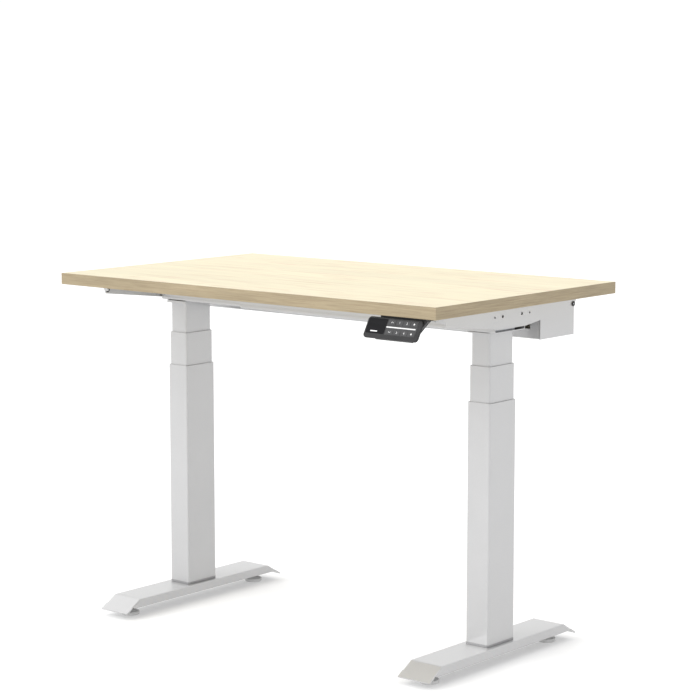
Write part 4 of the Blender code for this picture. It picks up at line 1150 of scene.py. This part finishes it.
def make_clips():
    """Stick-on clips that hold the keypad's lead under the board."""
    radius, points = LEAD_ROUTES["keypad_lead"]
    underside, half = BOARD_LOW.z, 0.007
    route = smooth_route(points, 0.004)
    for number, share in enumerate((0.13, 0.27, 0.41)):
        index = int(share * len(route))
        middle = Vector(route[index]) + Vector((0.0, CENTRE_Y, 0.0))
        along = Vector(route[index + 1]) - Vector(route[index - 1])
        turn = Vector((along.x, along.y, 0.0)).to_track_quat("Z", "Y").to_euler()
        pad = add_box("clip_pad", middle - Vector((half, half, 0.0)),
                      (middle.x + half, middle.y + half, underside))
        shift_points(lambda place: place.z < underside - 0.0009,
                     (0.0, 0.0, underside - 0.0010 - middle.z))
        pick("EDGE", lambda place, facing: abs(facing.z) > 0.9)
        round_picked(0.0015, 3)
        bpy.ops.object.mode_set(mode="OBJECT")
        loop = add_disc("clip_loop", middle, radius + 0.0012, 0.008, 28, turn)
        pick("EDGE", lambda place, facing: abs(facing.dot(along.normalized())) < 0.5)
        round_picked(0.0003, 2)
        bpy.ops.object.mode_set(mode="OBJECT")
        cut_away(loop, add_disc("bore", middle, radius + 0.0001, 0.012, 28, turn))
        clip = join_pieces("lead_clip_%d" % number, [pad, loop])
        finish_piece(clip, looks()["black"], "desk_frame")


def make_screw(name, middle, radius, height, turn):
    """A pan-head screw with a cross recess; its head stands out along the turned z."""
    head = add_disc(name, (0.0, 0.0, 0.5 * height), radius, height, 28)
    pick("EDGE", lambda place, facing: place.z > height - TINY)
    round_picked(0.45 * height, 4)
    bpy.ops.object.mode_set(mode="OBJECT")
    slots = [add_box("slot", (-0.6 * radius, -0.14 * radius, 0.55 * height),
                     (0.6 * radius, 0.14 * radius, 1.5 * height)),
             add_box("slot", (-0.14 * radius, -0.6 * radius, 0.55 * height),
                     (0.14 * radius, 0.6 * radius, 1.5 * height))]
    for slot in slots:
        cut_away(head, slot)
    return apply_place(head, Matrix.Translation(middle) @ turn)


def scatter(first, name, places, look, body):
    """Copies a shape from its first place to every further one and joins them into one piece."""
    copies = [first]
    for number, place in enumerate(places[1:]):
        copies.append(copy_piece(first, "%s_%d" % (name, number), Vector(place) - Vector(places[0])))
    return finish_piece(join_pieces(name, copies), looks()[look], body)


def make_fasteners(metal):
    """The screws of the board, cover and keypad, the brackets' bolts and grommets, the feet's bolts."""
    down = Matrix.Rotation(pi, 4, "X")
    for label, side in SIDES:
        low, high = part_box("side_bracket_" + label)
        x = 0.5 * (low.x + high.x) - side * 0.002
        z = high.z - metal.sheet
        places = [(x, CENTRE_Y + y, z) for y in (-0.195, -0.085, 0.085, 0.195)]
        first = make_screw("board_screws_" + label, places[0], 0.0042, 0.0022, down)
        scatter(first, "board_screws_" + label, places, "plated", "desk_frame")
        face = high.x if side > 0 else low.x
        make_bracket_bolts(label, side, face, high.z)
        make_grommets(label, side, face, high.z)
    for label, _ in SIDES:
        low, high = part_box("foot_" + label)
        middle_x = 0.5 * (low.x + high.x)
        z = high.z - metal.foot_sheet
        places = [(middle_x + a * 0.016, CENTRE_Y + b * 0.032, z) for a in (-1, 1) for b in (-1, 1)]
        bolt = make_hex_bolt("foot_bolts_" + label, places[0], 0.0052, 0.0040)
        scatter(bolt, "foot_bolts_" + label, places, "plated", "base_" + label)
    low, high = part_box("control_box_cover")
    inset = 0.012
    places = [(x, y, low.z) for x in (low.x + inset, high.x - inset)
              for y in (low.y + inset, high.y - inset)]
    first = make_screw("cover_screws", places[0], 0.0030, 0.0014, down)
    scatter(first, "cover_screws", places, "plated", "desk_frame")
    low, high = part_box("keypad_shell")
    plate = high.z - KEYPAD_PLATE
    places = [(x, high.y - 0.005, plate) for x in (low.x + 0.014, high.x - 0.014)]
    first = make_screw("keypad_screws", places[0], 0.0032, 0.0016, down)
    scatter(first, "keypad_screws", places, "plated", "desk_frame")


def make_hex_bolt(name, top, radius, height):
    """A hexagon head with a washer face, its underside softened, hanging below a sheet."""
    x, y, z = top
    washer_height = 0.0009
    bolt = add_disc(name, (x, y, z - washer_height - 0.5 * height), radius, height, 6)
    pick("EDGE", lambda place, facing: place.z < z - washer_height - height + TINY)
    round_picked(0.0006, 2)
    bpy.ops.object.mode_set(mode="OBJECT")
    washer = add_disc("washer", (x, y, z - 0.5 * washer_height), 1.45 * radius, washer_height, 32)
    pick("EDGE", lambda place, facing: abs(facing.z) < 0.5)
    round_picked(0.0002, 2)
    return join_pieces(name, [bolt, washer])


def make_bracket_bolts(label, side, face, top):
    """The ends of the bolts that sit back in the bracket's holes."""
    turn = Matrix.Rotation(side * 0.5 * pi, 4, "Y")
    y, depth, _ = BOLT_HOLE
    places = [(face - side * 0.0016, CENTRE_Y + way * y, top - depth) for way in (-1, 1)]
    bolt = add_disc("bracket_bolts_" + label, (0.0, 0.0, -0.0030), 0.0029, 0.0060, 24)
    pick("EDGE", lambda place, facing: place.z > -TINY and abs(facing.z) < 0.5)
    round_picked(0.0005, 2)
    pick("FACE", lambda place, facing: facing.z > 0.9)
    bpy.ops.mesh.inset(thickness=0.0010)
    push(0.0, 0.0, -0.0008)
    apply_place(bolt, Matrix.Translation(places[0]) @ turn)
    scatter(bolt, "bracket_bolts_" + label, places, "slide", "desk_frame")


def make_grommets(label, side, face, top):
    """Rubber grommets near the bracket's ends, each around the end of a bright pin."""
    y, depth, _ = GROMMET_HOLE
    places = [(face, CENTRE_Y + way * y, top - depth) for way in GROMMET_ENDS[label]]
    place = Matrix.Translation(places[0]) @ Matrix.Rotation(side * 0.5 * pi, 4, "Y")
    ring = spin_outline("grommets_" + label, [
        (0.0018, -0.0048), (0.0046, -0.0048), (0.0052, -0.0042), (0.0052, -0.0030),
        (0.0046, -0.0024), (0.0029, -0.0024), (0.0029, 0.0002), (0.0046, 0.0002),
        (0.0052, 0.0007), (0.0052, 0.0014), (0.0045, 0.0020), (0.0018, 0.0020),
        (0.0018, -0.0048)], (0.0, 0.0, 0.0), 32)
    apply_place(ring, place)
    scatter(ring, "grommets_" + label, places, "rubber", "desk_frame")
    pin = spin_outline("grommet_pins_" + label, [
        (0.0, -0.0060), (0.0013, -0.0060), (0.0017, -0.0055), (0.0017, 0.0014), (0.0013, 0.0018),
        (0.0, 0.0018)], (0.0, 0.0, 0.0), 24)
    apply_place(pin, place)
    scatter(pin, "grommet_pins_" + label, places, "plated", "desk_frame")


def paint_frame_nodes():
    """Finishes for the frame nodes that keep their own shape."""
    finishes = {"silver_paint": "paint", "steel": "machined", "zinc": "plated", "nut_plastic": "nut",
                "guide_plastic": "slide", "black_plastic": "black", "display_gloss": "window",
                "key_plastic": "film", "glide_rubber": "pad", "cable_jacket": "jacket",
                "oak_board": "face"}
    slots = {part["node"]: part["material_slot"] for part in frame["record"]["subparts"]}
    for name, node in frame["nodes"].items():
        if not node.hide_render:
            node.data.materials.clear()
            node.data.materials.append(looks()[finishes[slots[name]]])


# ---------------------------------------------------------------- stage


def make_stage(stage):
    """Floor, white surroundings, two soft lights and the camera."""
    select_only()
    bpy.ops.mesh.primitive_circle_add(vertices=96, radius=16.0, fill_type="NGON",
                                      location=(0.0, 0.0, -0.0002))
    floor = bpy.context.object
    floor.name = "floor"
    floor.data.materials.append(floor_look(stage))
    world = bpy.data.worlds.new("white_room")
    bpy.context.scene.world = world
    world.use_nodes = True
    nodes, links = world.node_tree.nodes, world.node_tree.links
    lit = nodes["Background"]
    lit.inputs["Color"].default_value = (1.0, 1.0, 1.0, 1.0)
    lit.inputs["Strength"].default_value = stage.sky
    seen = nodes.new("ShaderNodeBackground")
    seen.inputs["Color"].default_value = (1.0, 1.0, 1.0, 1.0)
    seen.inputs["Strength"].default_value = stage.seen
    path = nodes.new("ShaderNodeLightPath")
    choose = nodes.new("ShaderNodeMixShader")
    either = nodes.new("ShaderNodeMath")
    either.operation = "MAXIMUM"
    links.new(path.outputs["Is Camera Ray"], either.inputs[0])
    links.new(path.outputs["Is Glossy Ray"], either.inputs[1])
    links.new(either.outputs[0], choose.inputs["Fac"])
    links.new(lit.outputs["Background"], choose.inputs[1])
    links.new(seen.outputs["Background"], choose.inputs[2])
    links.new(choose.outputs["Shader"], nodes["World Output"].inputs["Surface"])
    add_light("key_light", (-1.4, -3.2, 2.0), radians(40.0), stage.key)
    add_light("top_light", (-0.2, -0.4, 4.0), radians(100.0), stage.top)
    add_camera(stage)
    bpy.context.scene.view_settings.view_transform = "Standard"
    bpy.context.scene.view_settings.look = "None"


def add_light(name, place, spread, strength):
    """A broad, even light that shines from a place towards the origin."""
    bpy.ops.object.light_add(type="SUN", location=place)
    light = bpy.context.object
    light.name = name
    light.rotation_euler = (-Vector(place)).to_track_quat("-Z", "Y").to_euler()
    light.data.angle = spread
    light.data.energy = strength


def add_camera(stage):
    azimuth, pitch = stage.azimuth, stage.pitch
    forward = Vector((-sin(azimuth) * cos(pitch), cos(azimuth) * cos(pitch), -sin(pitch)))
    bpy.ops.object.camera_add(location=Vector(stage.target) - stage.distance * forward,
                              rotation=(0.5 * pi - pitch, 0.0, azimuth))
    camera = bpy.context.object
    camera.name = "camera"
    camera.data.lens = stage.lens
    camera.data.sensor_width = 36.0
    bpy.context.scene.camera = camera


# ---------------------------------------------------------------- operators


class DESK_OT_board(bpy.types.Operator):
    """Make the board and its edge band"""
    bl_idname = "desk.make_board"
    bl_label = "Board"

    def execute(self, context):
        make_board(context.scene.desk_board)
        return {"FINISHED"}


class DESK_OT_feet(bpy.types.Operator):
    """Make both feet and their levelling glides"""
    bl_idname = "desk.make_feet"
    bl_label = "Feet and glides"

    def execute(self, context):
        for label, _ in SIDES:
            make_foot(context.scene.desk_metal, label)
            for end in ENDS:
                make_glide(label, end)
        return {"FINISHED"}


class DESK_OT_columns(bpy.types.Operator):
    """Make the three tubes of each lifting column and its top plate"""
    bl_idname = "desk.make_columns"
    bl_label = "Columns"

    def execute(self, context):
        metal = context.scene.desk_metal
        for label, _ in SIDES:
            make_tube(metal, label, "outer", "base_" + label)
            make_collar(metal, label)
            make_tube(metal, label, "mid", "mid_stage_" + label)
            make_tube(metal, label, "inner", "desk_frame")
            make_plain_plate(metal, "leg_top_plate_" + label, "column_plate_" + label, "desk_frame",
                             metal.tube_radius)
        return {"FINISHED"}


class DESK_OT_brackets(bpy.types.Operator):
    """Make the side brackets and the plates that join them to the crossbeam"""
    bl_idname = "desk.make_brackets"
    bl_label = "Side brackets"

    def execute(self, context):
        metal = context.scene.desk_metal
        for label, side in SIDES:
            make_bracket(metal, label, side)
            make_plain_plate(metal, "beam_end_plate_" + label, "end_plate_" + label, "desk_frame",
                             0.003)
        return {"FINISHED"}


class DESK_OT_beam(bpy.types.Operator):
    """Make the two rails of the telescoping crossbeam"""
    bl_idname = "desk.make_beam"
    bl_label = "Crossbeam"

    def execute(self, context):
        metal = context.scene.desk_metal
        for node, name, centre, half, front in (
                ("beam_inner_rail", "rail_inner", -0.255, 0.010, 0.0),
                ("beam_outer_rail", "rail_outer", 0.205, 0.020, -0.1)):
            slot = ((centre - half, CENTRE_Y + front, 0.7015), (centre + half, CENTRE_Y + 0.1, 0.7145))
            make_rail(metal, node, name, slot)
        return {"FINISHED"}


class DESK_OT_tray(bpy.types.Operator):
    """Make the cable tray under the rear of the board"""
    bl_idname = "desk.make_tray"
    bl_label = "Cable tray"

    def execute(self, context):
        make_tray(context.scene.desk_metal)
        return {"FINISHED"}


class DESK_OT_control_box(bpy.types.Operator):
    """Make the control box with its plate and mains inlet"""
    bl_idname = "desk.make_control_box"
    bl_label = "Control box"

    def execute(self, context):
        make_control_box(context.scene.desk_metal)
        return {"FINISHED"}


class DESK_OT_keypad(bpy.types.Operator):
    """Make the keypad with its display, keys and printed marks"""
    bl_idname = "desk.make_keypad"
    bl_label = "Keypad"

    def execute(self, context):
        make_keypad(context.scene.desk_keypad)
        return {"FINISHED"}


class DESK_OT_leads(bpy.types.Operator):
    """Make the motor leads and the keypad lead"""
    bl_idname = "desk.make_leads"
    bl_label = "Leads"

    def execute(self, context):
        for node, (radius, points) in LEAD_ROUTES.items():
            make_lead(node, radius, points)
        make_plugs()
        make_clips()
        return {"FINISHED"}


class DESK_OT_fasteners(bpy.types.Operator):
    """Make the screws, bolts and grommets"""
    bl_idname = "desk.make_fasteners"
    bl_label = "Fasteners"

    def execute(self, context):
        make_fasteners(context.scene.desk_metal)
        return {"FINISHED"}


class DESK_OT_mechanism(bpy.types.Operator):
    """Give the frame's own nodes their finishes"""
    bl_idname = "desk.finish_mechanism"
    bl_label = "Mechanism finishes"

    def execute(self, context):
        paint_frame_nodes()
        return {"FINISHED"}


class DESK_OT_stage(bpy.types.Operator):
    """Make the floor, the lights and the camera"""
    bl_idname = "desk.make_stage"
    bl_label = "Stage"

    def execute(self, context):
        make_stage(context.scene.desk_stage)
        return {"FINISHED"}


OPERATORS = (DESK_OT_stage, DESK_OT_board, DESK_OT_feet, DESK_OT_columns, DESK_OT_brackets,
             DESK_OT_beam, DESK_OT_tray, DESK_OT_control_box, DESK_OT_keypad, DESK_OT_leads,
             DESK_OT_fasteners, DESK_OT_mechanism)


class DESK_PT_panel(bpy.types.Panel):
    """Lists the desk's pieces in the order in which they are made"""
    bl_idname = "DESK_PT_panel"
    bl_label = "Lifting Desk"
    bl_space_type = "VIEW_3D"
    bl_region_type = "UI"
    bl_category = "Desk"

    def draw(self, context):
        for operator in OPERATORS:
            self.layout.operator(operator.bl_idname)


SETTINGS = (("desk_board", BoardSettings), ("desk_metal", MetalSettings),
            ("desk_keypad", KeypadSettings), ("desk_stage", StageSettings))


def register():
    for name, group in SETTINGS:
        bpy.utils.register_class(group)
        setattr(bpy.types.Scene, name, PointerProperty(type=group))
    for operator in OPERATORS:
        bpy.utils.register_class(operator)
    bpy.utils.register_class(DESK_PT_panel)


def unregister():
    bpy.utils.unregister_class(DESK_PT_panel)
    for operator in reversed(OPERATORS):
        bpy.utils.unregister_class(operator)
    for name, group in reversed(SETTINGS):
        delattr(bpy.types.Scene, name)
        bpy.utils.unregister_class(group)


def main():
    """Makes every piece in order."""
    register()
    for operator in OPERATORS:
        section, name = operator.bl_idname.split(".")
        getattr(getattr(bpy.ops, section), name)()
    select_only()


if __name__ == "__main__":
    main()
